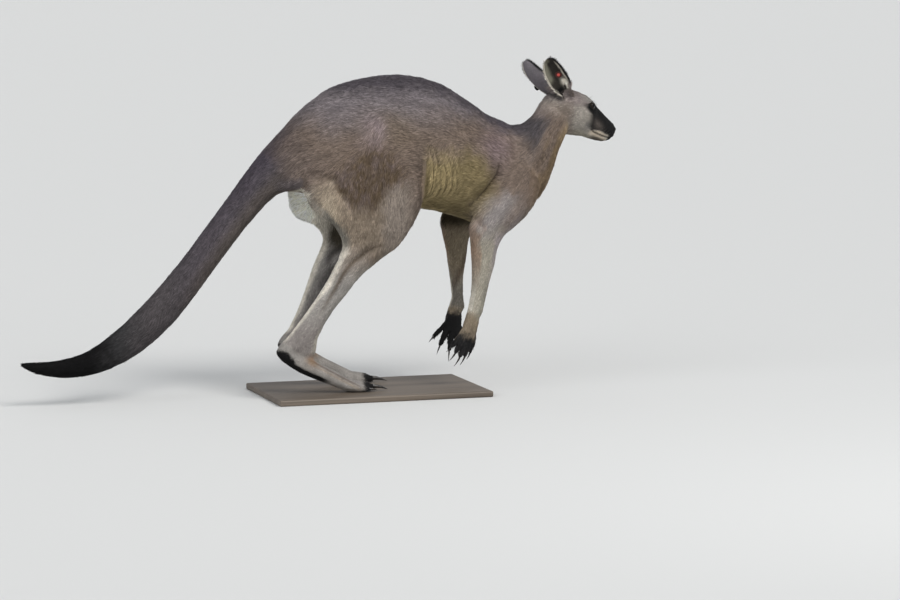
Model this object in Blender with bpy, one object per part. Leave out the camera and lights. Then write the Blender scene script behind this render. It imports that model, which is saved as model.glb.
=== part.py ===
"""Eastern grey kangaroo, an adult male, as a still life-size model on a flat display base.

The body is built whole from lofted sections, blended into one surface and then parted with
thin cuts, so that the parts meet along clean faces. Metres, +Z up. The animal faces +X, and
its right side is at -Y. The sections are laid out with x = 0 under the ball of the right foot
and z = 0 under the feet. At the end everything moves together, so that the origin is the
middle of the underside of the whole model's box.
"""

import math

import bmesh
import bpy
import numpy as np
from mathutils import Matrix, Vector

# ---- driving dimensions ----------------------------------------------------------------
GAP = 0.0005  # clearance between two pieces that meet
SLIVER = 0.0004  # edges shorter than this are dissolved
BASE_LENGTH = 0.66
BASE_WIDTH = 0.40
BASE_THICKNESS = 0.018
BASE_BEVEL = 0.004
BASE_CENTRE_X = 0.062  # middle of the base, ahead of the ball of the right foot

BLEND_VOXEL = 0.005  # grid that fuses the large forms
DETAIL_VOXEL = 0.003  # grid that adds the head, hands and feet
BLEND_STEPS = 100  # smoothing passes where the limbs join the trunk
LIMB_SHARE = 0.03  # how much of that smoothing the thin limbs get
DETAIL_STEPS = 2
BODY_FACES = 3650  # facets of the whole body before it is parted

RING_POINTS = 28
SPAN_STEPS = 4  # rings between two sections

HEAD_ORIGIN = Vector((0.650, 0.0, 0.825))  # where the skull meets the neck
HEAD_PITCH = math.radians(21.0)  # the muzzle points this far below level
HEAD_YAW = math.radians(10.0)  # and this far to the animal's left
EYE_PLACE = (0.097, 0.0385, 0.0470)  # along the head, out to the side, up
EYE_RADIUS = 0.0140
LEG_Y = 0.085  # the feet, either side of the middle
LEFT_STEP = 0.050  # the left foot stands this far ahead of the right one
LEFT_HAM_DROP = 0.026  # and the back of the left thigh hangs this much lower

# ---- sections --------------------------------------------------------------------------
# Each section is (back or front point, belly or rear point, half width, egg). The points are
# (x, z) in the animal's middle plane, with x = 0 under the ball of the right foot. A positive
# egg makes a section widest near its first point, and a negative one near its second.
TRUNK = [
    ((0.572, 0.660), (0.574, 0.580), 0.026, 0.0),
    ((0.548, 0.742), (0.558, 0.505), 0.072, 0.0),
    ((0.500, 0.790), (0.500, 0.466), 0.098, -0.05),
    ((0.437, 0.818), (0.430, 0.472), 0.111, -0.10),
    ((0.370, 0.864), (0.350, 0.502), 0.121, -0.15),
    ((0.283, 0.915), (0.262, 0.527), 0.129, -0.18),
    ((0.195, 0.938), (0.175, 0.537), 0.134, -0.18),
    ((0.107, 0.941), (0.095, 0.543), 0.133, -0.15),
    ((0.020, 0.928), (0.020, 0.552), 0.128, -0.12),
    ((-0.059, 0.903), (-0.048, 0.566), 0.118, -0.10),
    ((-0.135, 0.850), (-0.108, 0.580), 0.102, -0.06),
    ((-0.205, 0.781), (-0.164, 0.594), 0.087, -0.05),
    ((-0.284, 0.695), (-0.222, 0.587), 0.070, -0.05),
    ((-0.370, 0.585), (-0.290, 0.525), 0.058, -0.05),
    ((-0.456, 0.474), (-0.372, 0.428), 0.053, -0.05),
    ((-0.534, 0.378), (-0.450, 0.325), 0.050, -0.05),
    ((-0.618, 0.287), (-0.545, 0.211), 0.046, -0.05),
    ((-0.706, 0.206), (-0.648, 0.127), 0.041, -0.05),
    ((-0.790, 0.148), (-0.752, 0.078), 0.035, 0.0),
    ((-0.863, 0.124), (-0.851, 0.063), 0.028, 0.0),
    ((-0.929, 0.118), (-0.929, 0.073), 0.020, 0.0),
    ((-0.984, 0.119), (-0.981, 0.093), 0.012, 0.0),
    ((-1.007, 0.116), (-1.006, 0.107), 0.004, 0.0),
]
# The muscle either side that fills the hollow between hip, thigh and tail.
RUMP = [
    ((0.290, 0.790), (0.270, 0.670), 0.012, 0.0, 0.086),
    ((0.190, 0.815), (0.170, 0.630), 0.028, 0.0, 0.090),
    ((0.080, 0.820), (0.060, 0.590), 0.042, 0.0, 0.090),
    ((-0.020, 0.795), (-0.030, 0.570), 0.050, 0.0, 0.086),
    ((-0.105, 0.745), (-0.100, 0.580), 0.048, 0.0, 0.075),
    ((-0.185, 0.680), (-0.160, 0.600), 0.034, 0.0, 0.058),
    ((-0.260, 0.625), (-0.225, 0.600), 0.018, 0.0, 0.042),
]
NECK = [
    ((0.470, 0.750), (0.555, 0.520), 0.060, -0.1),
    ((0.515, 0.782), (0.608, 0.565), 0.080, -0.1),
    ((0.546, 0.785), (0.640, 0.630), 0.073, -0.1),
    ((0.568, 0.797), (0.663, 0.692), 0.062, 0.0),
    ((0.590, 0.821), (0.684, 0.738), 0.054, 0.0),
    ((0.612, 0.855), (0.706, 0.768), 0.047, 0.0),
    ((0.640, 0.872), (0.725, 0.790), 0.034, 0.0),
]
# In the head's own frame: (along the muzzle, up).
HEAD = [
    ((-0.036, 0.034), (-0.032, -0.014), 0.026, 0.0),
    ((-0.008, 0.064), (0.006, -0.044), 0.045, 0.10),
    ((0.034, 0.0785), (0.050, -0.0585), 0.0535, 0.12),
    ((0.073, 0.0800), (0.088, -0.0530), 0.0550, 0.14),
    ((0.106, 0.0735), (0.118, -0.0455), 0.0500, 0.15),
    ((0.133, 0.0610), (0.145, -0.0425), 0.0400, 0.10),
    ((0.164, 0.0485), (0.172, -0.0400), 0.0325, 0.00),
    ((0.194, 0.0380), (0.198, -0.0345), 0.0285, -0.08),
    ((0.215, 0.0285), (0.215, -0.0240), 0.0235, -0.08),
    ((0.2270, 0.0140), (0.2255, -0.0090), 0.0120, 0.0),
]
# Legs and arms add how far out from the middle plane the section's centre lies.
LEG = [
    ((0.085, 0.835), (-0.035, 0.825), 0.028, 0.0, 0.058),
    ((0.155, 0.778), (-0.098, 0.752), 0.058, 0.0, 0.075),
    ((0.197, 0.706), (-0.146, 0.682), 0.070, 0.0, 0.085),
    ((0.210, 0.635), (-0.163, 0.612), 0.073, 0.0, 0.091),
    ((0.203, 0.560), (-0.142, 0.552), 0.068, 0.0, 0.098),
    ((0.167, 0.490), (-0.086, 0.510), 0.057, 0.0, 0.104),
    ((0.126, 0.438), (-0.053, 0.456), 0.048, 0.0, 0.106),
    ((0.070, 0.398), (-0.057, 0.412), 0.042, 0.1, 0.105),
    ((0.004, 0.344), (-0.081, 0.360), 0.036, 0.1, 0.101),
    ((-0.047, 0.283), (-0.122, 0.296), 0.030, 0.1, 0.096),
    ((-0.090, 0.225), (-0.167, 0.233), 0.0265, 0.1, 0.091),
    ((-0.117, 0.170), (-0.214, 0.174), 0.027, 0.1, 0.087),
    ((-0.126, 0.124), (-0.247, 0.138), 0.0275, 0.0, LEG_Y),
    ((-0.140, 0.097), (-0.226, 0.106), 0.016, 0.0, LEG_Y),
]
# The foot's own sections run from the heel to the ball, top point first.
FOOT = [
    ((-0.247, 0.137), (-0.248, 0.121), 0.010, 0.0, LEG_Y),
    ((-0.228, 0.146), (-0.229, 0.098), 0.022, 0.0, LEG_Y),
    ((-0.168, 0.124), (-0.187, 0.068), 0.027, 0.0, LEG_Y),
    ((-0.116, 0.091), (-0.139, 0.045), 0.0265, 0.0, LEG_Y),
    ((-0.064, 0.064), (-0.086, 0.023), 0.0260, -0.1, LEG_Y),
    ((-0.020, 0.041), (-0.034, 0.001), 0.0280, -0.1, LEG_Y),
    ((0.012, 0.032), (0.010, -0.003), 0.0275, -0.1, LEG_Y),
    ((0.032, 0.026), (0.032, 0.004), 0.0150, 0.0, LEG_Y),
]
ARM = [
    ((0.555, 0.664), (0.480, 0.684), 0.028, 0.0, 0.064),
    ((0.582, 0.612), (0.444, 0.646), 0.046, 0.0, 0.076),
    ((0.560, 0.545), (0.412, 0.594), 0.050, 0.0, 0.088),
    ((0.514, 0.495), (0.377, 0.550), 0.046, 0.0, 0.096),
    ((0.462, 0.457), (0.350, 0.500), 0.042, 0.0, 0.099),
    ((0.438, 0.418), (0.350, 0.440), 0.037, 0.0, 0.099),
    ((0.427, 0.368), (0.356, 0.382), 0.032, 0.0, 0.097),
    ((0.414, 0.318), (0.358, 0.327), 0.0265, 0.0, 0.094),
    ((0.402, 0.264), (0.354, 0.269), 0.0225, 0.0, 0.090),
    ((0.394, 0.224), (0.346, 0.228), 0.0215, 0.0, 0.088),
    ((0.384, 0.206), (0.345, 0.210), 0.0170, 0.0, 0.086),
]
# How the left arm hangs, against the right one: further back at each of its sections.
LEFT_ARM_BACK = (0.0, 0.004, 0.016, 0.026, 0.030, 0.024, 0.020, 0.016, 0.006, -0.004, -0.006)

# ---- digits ----------------------------------------------------------------------------
# A toe: side offset (outwards), where it starts and ends along x, its radius, its claw's
# length and the claw's radius. The second and third toes are bound together in one skin.
TOES = {
    "fourth": (0.000, -0.020, 0.052, 0.0145, 0.046, 0.0078),
    "fifth": (0.0205, -0.035, 0.034, 0.0095, 0.026, 0.0048),
    "third": (-0.0165, -0.035, 0.022, 0.0068, 0.015, 0.0030),
    "second": (-0.0235, -0.035, 0.019, 0.0064, 0.014, 0.0028),
}
TOE_RISE = 0.009  # the root of a toe sits this much higher than its tip
TOE_FLAT = 0.0006  # depth of the small flats that the feet stand on
TOE_TIP_SHARE = 0.80  # radius at a toe's tip, as a share of the toe's radius
TOE_KNUCKLE_SHARE = 0.18  # rise of a toe's knuckle, as a share of the toe's radius
TOE_SHARES = (1.00, 1.00, 1.00, 0.92, TOE_TIP_SHARE)  # radius at five points along a toe
TOE_CLAW_RISE = 0.42  # slope with which a toe's claw leaves the toe
TOE_CLAW_LIFT = 0.22  # height of a claw's root over the toe's tip, as a share of its radius
TOE_CLAW_SINK = 0.30  # how far a claw's root lies inside the toe, in the same shares
# A finger: place across the palm, splay and curl in degrees, length, radius, claw length.
FINGERS = {
    "first": (-0.0195, -20.0, 4.0, 0.042, 0.0070, 0.024),
    "second": (-0.0100, -9.0, 1.0, 0.056, 0.0076, 0.028),
    "third": (0.0000, 0.0, 0.0, 0.061, 0.0078, 0.030),
    "fourth": (0.0100, 12.0, 1.0, 0.053, 0.0076, 0.026),
    "fifth": (0.0195, 27.0, 4.0, 0.036, 0.0072, 0.022),
}
FINGER_BEND = 4.0  # degrees more curl at each of a finger's joints
FINGER_JOINTS = 4
FINGER_SHARES = (1.05, 1.00, 1.00, 0.92, 0.80)  # radius at five points along a finger
FINGER_ROOT_SHARE = 0.62  # where the fingers' roots lie along the palm
FINGER_IN_PALM = 0.32  # length of a finger inside the palm, as a share of the palm's length
FINGER_POINTS = 12
FINGER_CLAW_RADIUS = 0.0036
FINGER_CLAW_BACK = 0.001  # a finger's claw sits this much behind the finger's middle line
PALM_LENGTH = 0.070
PALM_HALF_WIDTH = 0.0265
PALM_HALF_DEPTH = 0.0140
PALM_POINTS = 20
PALM_SECTIONS = (  # share of the palm's length, of its half width and of its half depth
    (-0.50, 0.84, 1.40),
    (-0.15, 0.86, 1.40),
    (0.20, 0.92, 1.28),
    (0.55, 1.00, 1.10),
    (0.88, 0.96, 0.80),
    (1.03, 0.70, 0.50),
)
# Each hand: wrist, direction of the fingers, direction across the palm to the fifth finger,
# and share of the splay. The palms face each other, thumbs forward.
HANDS = {
    "right": ((0.364, -0.087, 0.212), (-0.27, 0.05, -0.96), (-0.95, -0.20, 0.10), 0.55),
    "left": ((0.364, 0.087, 0.216), (-0.17, -0.06, -0.98), (-0.95, 0.20, 0.10), 1.30),
}

# ---- ears and tags ---------------------------------------------------------------------
EAR_LENGTH = 0.126
EAR_HALF_WIDTH = {"right": 0.0310, "left": 0.0275}
EAR_WIDEST = 0.42  # where the ear is widest, as a share of its length
EAR_ROLL_ROOT = 118.0  # half the angle that the leaf is rolled through at its root, in degrees
EAR_ROLL_TIP = 58.0
EAR_ROLL_SPAN = 0.75  # share of the ear's length over which the roll opens
EAR_ROOT_WIDTH = 0.58  # half width at the root, as a share of the greatest
EAR_TIP_POWER = 2.2  # above the widest place the outline narrows with this power
EAR_TIP_END = 1.004  # just past the last row, so that the tip keeps a little width
EAR_BOW = 0.010  # how far the middle of the ear leans back
EAR_WALL = 0.0032
EAR_STEPS = 10
EAR_ACROSS = 8
# Root, tip direction and the way the ear opens, in the head's frame as (along, out, up).
EARS = {
    "right": (Vector((0.002, -0.032, 0.056)), Vector((-0.81, -0.11, 0.575)), Vector((-0.29, -0.95, 0.04))),
    "left": (Vector((-0.008, 0.034, 0.052)), Vector((-0.83, 0.25, 0.50)), Vector((0.93, 0.33, 0.15))),
}
# A tag: place up and across the ear, inside (1) or outside (-1) of it, radius.
TAGS = {"right": (0.43, 0.36, 1.0, 0.0120), "left": (0.22, 0.80, -1.0, 0.0080)}
TAG_THICKNESS = 0.0024
TAG_STAND = 0.0030  # from the ear's mid surface to a plate of the tag
TAG_BACK_SHARE = 0.70
TAG_FRONT_SHARE = 0.92  # radius of a tag's outer face, as a share of its rim
TAG_PIN_RADIUS = 0.0024
TAG_POINTS = 12

NOSE_PLACE = (0.2165, 0.0, 0.0125)  # in the head's frame
NOSE_RADII = (0.0115, 0.0145, 0.0105)

CLAW_STEPS = 4
CLAW_HOOK = 0.30  # how far a claw's point bends under, as a share of its length
CLAW_TAPER = 1.6  # power with which a claw narrows to its point
CLAW_POINT = 0.0005  # radius of a claw's point
CLAW_DEPTH = 1.2  # depth of a claw over its width
CLAW_POINTS = 6

COLOURS = {
    "coat": ((0.235, 0.195, 0.165), 0.85),
    "claw": ((0.020, 0.018, 0.016), 0.40),
    "eye": ((0.012, 0.008, 0.006), 0.08),
    "nose": ((0.015, 0.014, 0.014), 0.50),
    "red_tag": ((0.480, 0.030, 0.025), 0.45),
    "dark_tag": ((0.020, 0.020, 0.022), 0.45),
    "base": ((0.130, 0.120, 0.105), 0.60),
}


# ---- small helpers ---------------------------------------------------------------------
def clear_scene():
    for obj in list(bpy.data.objects):
        bpy.data.objects.remove(obj, do_unlink=True)


def material(slot):
    """The named finish, made once."""
    found = bpy.data.materials.get(slot)
    if found:
        return found
    colour, roughness = COLOURS[slot]
    made = bpy.data.materials.new(slot)
    made.use_nodes = True
    shader = made.node_tree.nodes["Principled BSDF"]
    shader.inputs["Base Color"].default_value = (*colour, 1.0)
    shader.inputs["Roughness"].default_value = roughness
    shader.inputs["Metallic"].default_value = 0.0
    return made


def mesh_object(name, vertices, faces, slot="coat"):
    mesh = bpy.data.meshes.new(name)
    mesh.from_pydata([tuple(v) for v in vertices], [], faces)
    mesh.update()
    obj = bpy.data.objects.new(name, mesh)
    obj.data.materials.append(material(slot))
    bpy.context.scene.collection.objects.link(obj)
    return obj


def evaluated_mesh(obj):
    """The object's mesh with its modifiers applied, as a new mesh."""
    graph = bpy.context.evaluated_depsgraph_get()
    graph.update()
    return bpy.data.meshes.new_from_object(obj.evaluated_get(graph), depsgraph=graph)


def bake_modifiers(obj):
    mesh = evaluated_mesh(obj)
    obj.modifiers.clear()
    obj.data = mesh
    return obj


def joined(name, parts):
    """One object with the meshes of several, which are removed."""
    mesh = bmesh.new()
    for part in parts:
        mesh.from_mesh(part.data)
    data = bpy.data.meshes.new(name)
    mesh.to_mesh(data)
    mesh.free()
    for part in parts:
        bpy.data.objects.remove(part, do_unlink=True)
    obj = bpy.data.objects.new(name, data)
    bpy.context.scene.collection.objects.link(obj)
    return obj


def copied(obj, name):
    twin = bpy.data.objects.new(name, obj.data.copy())
    bpy.context.scene.collection.objects.link(twin)
    return twin


def hidden(obj):
    """A helper that no render shows and that becomes no part."""
    obj.hide_render = True
    obj.display_type = "WIRE"
    return obj


def smooth_value(values, at):
    """Catmull-Rom through equally spaced values, at a place counted in spans."""
    last = len(values) - 1
    i = min(int(at), last - 1)
    t = at - i
    p1, p2 = values[i], values[i + 1]
    p0 = values[i - 1] if i > 0 else 2 * p1 - p2
    p3 = values[i + 2] if i + 2 <= last else 2 * p2 - p1
    return 0.5 * (
        2 * p1 + (p2 - p0) * t + (2 * p0 - 5 * p1 + 4 * p2 - p3) * t * t + (3 * p1 - p0 - 3 * p2 + p3) * t**3
    )


def tube_mesh(rings):
    """Vertices and faces of a closed tube through rings of equal length, with a fan at each end."""
    count = len(rings[0])
    vertices = [point for ring in rings for point in ring]
    faces = []
    for r in range(len(rings) - 1):
        for i in range(count):
            j = (i + 1) % count
            faces.append((r * count + i, r * count + j, (r + 1) * count + j, (r + 1) * count + i))
    for ring, flip in ((0, False), (len(rings) - 1, True)):
        centre = sum((Vector(p) for p in rings[ring]), Vector()) / count
        vertices.append(centre)
        for i in range(count):
            j = (i + 1) % count
            a, b = ring * count + i, ring * count + j
            faces.append((a, b, len(vertices) - 1) if flip else (b, a, len(vertices) - 1))
    return vertices, faces


def facing_out(obj):
    mesh = bmesh.new()
    mesh.from_mesh(obj.data)
    bmesh.ops.recalc_face_normals(mesh, faces=mesh.faces)
    if mesh.calc_volume(signed=True) < 0:
        bmesh.ops.reverse_faces(mesh, faces=mesh.faces)
    mesh.to_mesh(obj.data)
    mesh.free()
    return obj


def loft(name, sections, side=0.0, placed=Matrix.Identity(4), points=RING_POINTS):
    """A closed solid through sections. side is -1 for a right limb, +1 for a left one, 0 for neither."""
    table = np.array([(*a, *b, width, egg, out[0] if out else 0.0) for a, b, width, egg, *out in sections])
    rings = []
    for step in range((len(table) - 1) * SPAN_STEPS + 1):
        ax, az, bx, bz, width, egg, out = smooth_value(table, step / SPAN_STEPS)
        width = max(width, 0.002)
        ring = []
        for i in range(points):
            angle = math.tau * i / points
            along = math.cos(angle)
            across = math.sin(angle) * width * (1.0 + egg * along)
            x = (ax + bx) / 2 + (ax - bx) / 2 * along
            z = (az + bz) / 2 + (az - bz) / 2 * along
            ring.append(placed @ Vector((x, side * out + across, z)))
        rings.append(ring)
    vertices, faces = tube_mesh(rings)
    return facing_out(mesh_object(name, vertices, faces))


def path_tube(name, path, radii, flat=1.0, up=Vector((0, 0, 1)), points=14, slot="coat", round_ends=True):
    """A closed tube along points with a radius at each. flat squashes it along up, and
    round_ends caps it with domes."""
    path = [Vector(p) for p in path]
    radii = list(radii)
    if round_ends:
        for end, beyond in ((0, -1), (-1, 1)):
            direction = (path[1] - path[0]) if end == 0 else (path[-1] - path[-2])
            direction.normalize()
            base, radius = path[end].copy(), radii[end]
            for share in (0.5, 0.87, 0.99):
                place = base + direction * beyond * radius * share
                size = radius * math.sqrt(1 - share * share)
                if end == 0:
                    path.insert(0, place)
                    radii.insert(0, size)
                else:
                    path.append(place)
                    radii.append(size)
    rings = []
    for i, place in enumerate(path):
        ahead = path[min(i + 1, len(path) - 1)] - path[max(i - 1, 0)]
        ahead.normalize()
        side = ahead.cross(up).normalized()
        over = side.cross(ahead).normalized()
        rings.append(
            [
                place
                + side * (math.cos(math.tau * k / points) * radii[i])
                + over * (math.sin(math.tau * k / points) * radii[i] * flat)
                for k in range(points)
            ]
        )
    vertices, faces = tube_mesh(rings)
    return facing_out(mesh_object(name, vertices, faces, slot))


# ---- the head's frame ------------------------------------------------------------------
def head_frame():
    turn = Matrix.Rotation(HEAD_YAW, 4, "Z") @ Matrix.Rotation(HEAD_PITCH, 4, "Y")
    return Matrix.Translation(HEAD_ORIGIN) @ turn


def in_head(along, out, up):
    return head_frame() @ Vector((along, out, up))


# ---- limbs -----------------------------------------------------------------------------
def leg_sections(side):
    """The right leg as listed. The left one stands further forward from the shank down."""
    if side < 0:
        return LEG
    moved = []
    for front, rear, width, egg, out in LEG:
        low = min(max((0.36 - front[1]) / 0.22, 0.0), 1.0)
        low = low * low * (3 - 2 * low)
        sag = LEFT_HAM_DROP * math.exp(-(((rear[1] - 0.54) / 0.06) ** 2))
        step = LEFT_STEP * low
        moved.append(((front[0] + step, front[1]), (rear[0] + step, rear[1] - sag), width, egg, out))
    return moved


def arm_sections(side):
    if side < 0:
        return ARM
    return [
        ((front[0] - back, front[1]), (rear[0] - back, rear[1]), width, egg, out)
        for (front, rear, width, egg, out), back in zip(ARM, LEFT_ARM_BACK)
    ]


def foot_sections(side):
    step = LEFT_STEP if side > 0 else 0.0
    return [((a[0] + step, a[1]), (b[0] + step, b[1]), width, egg, out) for a, b, width, egg, out in FOOT]


def toe_line(side, toe):
    """Root, knuckle and tip of a toe's bone line, the tip's underside on the floor."""
    offset, start, end, radius, _, _ = TOES[toe]
    step = LEFT_STEP if side > 0 else 0.0
    y = side * (LEG_Y + offset)
    root = Vector((start + step, y, radius + TOE_RISE))
    end_radius = radius * TOE_TIP_SHARE
    tip = Vector((end - end_radius + step, y, end_radius - TOE_FLAT))
    knuckle = root.lerp(tip, 0.6) + Vector((0, 0, radius * TOE_KNUCKLE_SHARE))
    return root, knuckle, tip


def toes(side):
    made = []
    for toe, (_, _, _, radius, _, _) in TOES.items():
        root, knuckle, tip = toe_line(side, toe)
        path = [root, root.lerp(knuckle, 0.5), knuckle, knuckle.lerp(tip, 0.5), tip]
        made.append(path_tube("toe", path, [radius * share for share in TOE_SHARES]))
    return made


def hand_axes(which):
    """Wrist, direction of the fingers, direction across the palm and the way the palm faces."""
    wrist, down, across = (Vector(v) for v in HANDS[which][:3])
    down.normalize()
    across = (across - down * across.dot(down)).normalized()
    palm = down.cross(across).normalized()
    return wrist, down, across, palm if which == "right" else -palm


def finger_line(which, finger):
    """Points along a finger from its root in the palm to its tip."""
    across_at, splay, curl, length, _, _ = FINGERS[finger]
    wrist, down, across, palm = hand_axes(which)
    splay = math.radians(splay * HANDS[which][3])
    points = [wrist + down * (PALM_LENGTH * FINGER_ROOT_SHARE) + across * across_at]
    heading = down * math.cos(splay) + across * math.sin(splay)
    bone = (PALM_LENGTH * FINGER_IN_PALM + length) / FINGER_JOINTS
    for joint in range(FINGER_JOINTS):
        bend = math.radians(curl + FINGER_BEND * joint)
        points.append(points[-1] + (heading * math.cos(bend) + palm * math.sin(bend)) * bone)
    return points


def hand(which):
    wrist, down, across, palm = hand_axes(which)
    rings = []
    for share, width, depth in PALM_SECTIONS:
        centre = wrist + down * (PALM_LENGTH * share)
        rings.append(
            [
                centre
                + across * (math.cos(math.tau * i / PALM_POINTS) * PALM_HALF_WIDTH * width)
                + palm * (math.sin(math.tau * i / PALM_POINTS) * PALM_HALF_DEPTH * depth)
                for i in range(PALM_POINTS)
            ]
        )
    vertices, faces = tube_mesh(rings)
    made = [facing_out(mesh_object("palm", vertices, faces))]
    for finger, (_, _, _, _, radius, _) in FINGERS.items():
        radii = [radius * share for share in FINGER_SHARES]
        made.append(path_tube("finger", finger_line(which, finger), radii, up=palm, points=FINGER_POINTS))
    return made


def claw(name, root, heading, length, radius, under):
    """A curved, pointed claw that bends towards its underside."""
    path, radii = [], []
    for i in range(CLAW_STEPS + 1):
        share = i / CLAW_STEPS
        path.append(root + heading * (length * share) + under * (length * CLAW_HOOK * share * share))
        radii.append(max(radius * (1 - share**CLAW_TAPER), CLAW_POINT))
    return path_tube(name, path, radii, CLAW_DEPTH, under, CLAW_POINTS, "claw", round_ends=False)


def claws():
    """Every claw, rooted inside the tip of its toe or finger."""
    made = []
    for side, word in ((-1.0, "right"), (1.0, "left")):
        for toe, (_, _, _, radius, length, thick) in TOES.items():
            _, knuckle, tip = toe_line(side, toe)
            heading = (tip - knuckle).normalized()
            heading = (heading + Vector((0, 0, TOE_CLAW_RISE))).normalized()
            root = tip + Vector((0, 0, radius * TOE_CLAW_LIFT)) - heading * (radius * TOE_CLAW_SINK)
            name = f"claw_{toe}_toe_{word}"
            made.append(claw(name, root, heading, length + radius, thick, Vector((0, 0, -1))))
        for finger, (_, _, _, _, radius, length) in FINGERS.items():
            line = finger_line(word, finger)
            palm = hand_axes(word)[3]
            heading = (line[-1] - line[-2]).normalized()
            name = f"claw_{finger}_finger_{word}"
            root = line[-1] - palm * FINGER_CLAW_BACK
            made.append(claw(name, root, heading, length + radius, FINGER_CLAW_RADIUS, palm))
    return made


# ---- one surface from all the forms ----------------------------------------------------
def fused(name, parts, voxel, passes, share=None):
    """One closed surface round all the parts, smoothed; share(place) thins the smoothing out."""
    obj = joined(name, parts)
    remesh = obj.modifiers.new("fuse", "REMESH")
    remesh.mode = "VOXEL"
    remesh.voxel_size = voxel
    bake_modifiers(obj)
    smooth = obj.modifiers.new("blend", "SMOOTH")
    smooth.factor = 0.5
    smooth.iterations = passes
    if share:
        group = obj.vertex_groups.new(name="share")
        for vertex in obj.data.vertices:
            group.add([vertex.index], share(vertex.co), "REPLACE")
        smooth.vertex_group = group.name
    return bake_modifiers(obj)


def ramp(value, low, high):
    """0 below low, 1 above high, and a smooth rise between."""
    t = min(max((value - low) / (high - low), 0.0), 1.0)
    return t * t * (3 - 2 * t)


def broad_share(place):
    """How much the large forms blend: fully on the trunk, little along the limbs, tail and neck."""
    high = ramp(place.z, 0.40, 0.60)
    behind = ramp(place.x, -0.26, -0.06)
    ahead = 1.0 - 0.6 * ramp(place.x, 0.53, 0.60)
    return LIMB_SHARE + (1.0 - LIMB_SHARE) * high * behind * ahead


def whole_body():
    large = [loft("trunk", TRUNK), loft("neck", NECK)]
    for side in (-1.0, 1.0):
        large.append(loft("rump", RUMP, side))
        large.append(loft("leg", leg_sections(side), side))
        large.append(loft("arm", arm_sections(side), side))
    forms = fused("forms", large, BLEND_VOXEL, BLEND_STEPS, broad_share)
    detail = [forms, loft("skull", HEAD, placed=head_frame())]
    for side in (-1.0, 1.0):
        detail.append(loft("foot", foot_sections(side), side, points=20))
        detail += toes(side)
    for which in HANDS:
        detail += hand(which)
    body = fused("body", detail, DETAIL_VOXEL, DETAIL_STEPS)
    thin = body.modifiers.new("facets", "DECIMATE")
    thin.ratio = BODY_FACES / (2 * len(body.data.polygons))
    bake_modifiers(body)
    return facing_out(body)


def keep_side(obj, point, normal):
    """Cuts the object at a plane, keeps what the normal points to and closes the cut."""
    mesh = bmesh.new()
    mesh.from_mesh(obj.data)
    found = bmesh.ops.bisect_plane(
        mesh,
        geom=mesh.verts[:] + mesh.edges[:] + mesh.faces[:],
        plane_co=point,
        plane_no=normal,
        clear_inner=True,
        dist=1e-6,
    )
    edges = [e for e in found["geom_cut"] if isinstance(e, bmesh.types.BMEdge)]
    bmesh.ops.triangle_fill(mesh, edges=edges, use_beauty=True, use_dissolve=False)
    bmesh.ops.recalc_face_normals(mesh, faces=mesh.faces)
    mesh.to_mesh(obj.data)
    mesh.free()
    return obj


def parted(obj, name_ahead, name_behind, point, normal):
    """Two objects from one, cut at a plane with a thin gap. The first lies where the normal points."""
    normal = Vector(normal).normalized()
    point = Vector(point)
    ahead = keep_side(copied(obj, name_ahead), point + normal * (GAP / 2), normal)
    behind = keep_side(copied(obj, name_behind), point - normal * (GAP / 2), -normal)
    bpy.data.objects.remove(obj, do_unlink=True)
    return ahead, behind


def cut_with(obj, cutter, operation):
    step = obj.modifiers.new("cut", "BOOLEAN")
    step.operation = operation
    step.object = cutter
    step.solver = "EXACT"
    return bake_modifiers(obj)


def grown(obj, name, by):
    """A copy of a closed mesh with its surface moved out a little, to cut a neighbour clear of it."""
    twin = copied(obj, name)
    twin.data.calc_loop_triangles()
    mesh = bmesh.new()
    mesh.from_mesh(twin.data)
    mesh.normal_update()
    moves = [v.normal.copy() * by for v in mesh.verts]
    for vertex, move in zip(mesh.verts, moves):
        vertex.co += move
    mesh.to_mesh(twin.data)
    mesh.free()
    return hidden(twin)


# ---- where the body is parted ----------------------------------------------------------
LIMB_OUTSIDE = 0.32  # well beyond the body's side
# A limb's region, level by level: (height, rearmost x, foremost x, distance from the middle).
LEG_REGION = [
    (-0.020, -0.300, 0.290, 0.012),
    (0.400, -0.290, 0.270, 0.012),
    (0.500, -0.262, 0.262, 0.014),
    (0.545, -0.222, 0.240, 0.024),
    (0.585, -0.172, 0.223, 0.040),
    (0.640, -0.160, 0.213, 0.060),
    (0.700, -0.142, 0.194, 0.078),
    (0.750, -0.106, 0.162, 0.088),
    (0.785, -0.062, 0.118, 0.094),
    (0.803, -0.010, 0.066, 0.097),
]
ARM_REGION = [
    (0.020, 0.240, 0.480, 0.012),
    (0.420, 0.270, 0.470, 0.014),
    (0.455, 0.300, 0.490, 0.046),
    (0.510, 0.330, 0.548, 0.052),
    (0.560, 0.368, 0.580, 0.060),
    (0.610, 0.412, 0.592, 0.068),
    (0.655, 0.458, 0.582, 0.074),
    (0.682, 0.494, 0.554, 0.077),
]
# Cuts across the body: a point in the middle plane and the way that points ahead or up.
KNEE = ((0.035, 0.447), (0.10, 1.0))
ANKLE = ((-0.180, 0.150), (0.15, 1.0))
ELBOW = ((0.398, 0.452), (-0.12, 1.0))
WRIST = ((0.366, 0.222), (0.10, 1.0))
NECK_ROOT = ((0.520, 0.700), (1.0, 0.42))
HEAD_ROOT = ((0.662, 0.815), (1.0, 0.62))
TAIL_ROOT = ((-0.184, 0.690), (1.0, 0.22))
TAIL_FIRST = ((-0.452, 0.405), (0.78, 0.62))
TAIL_SECOND = ((-0.725, 0.150), (0.86, 0.50))


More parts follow.
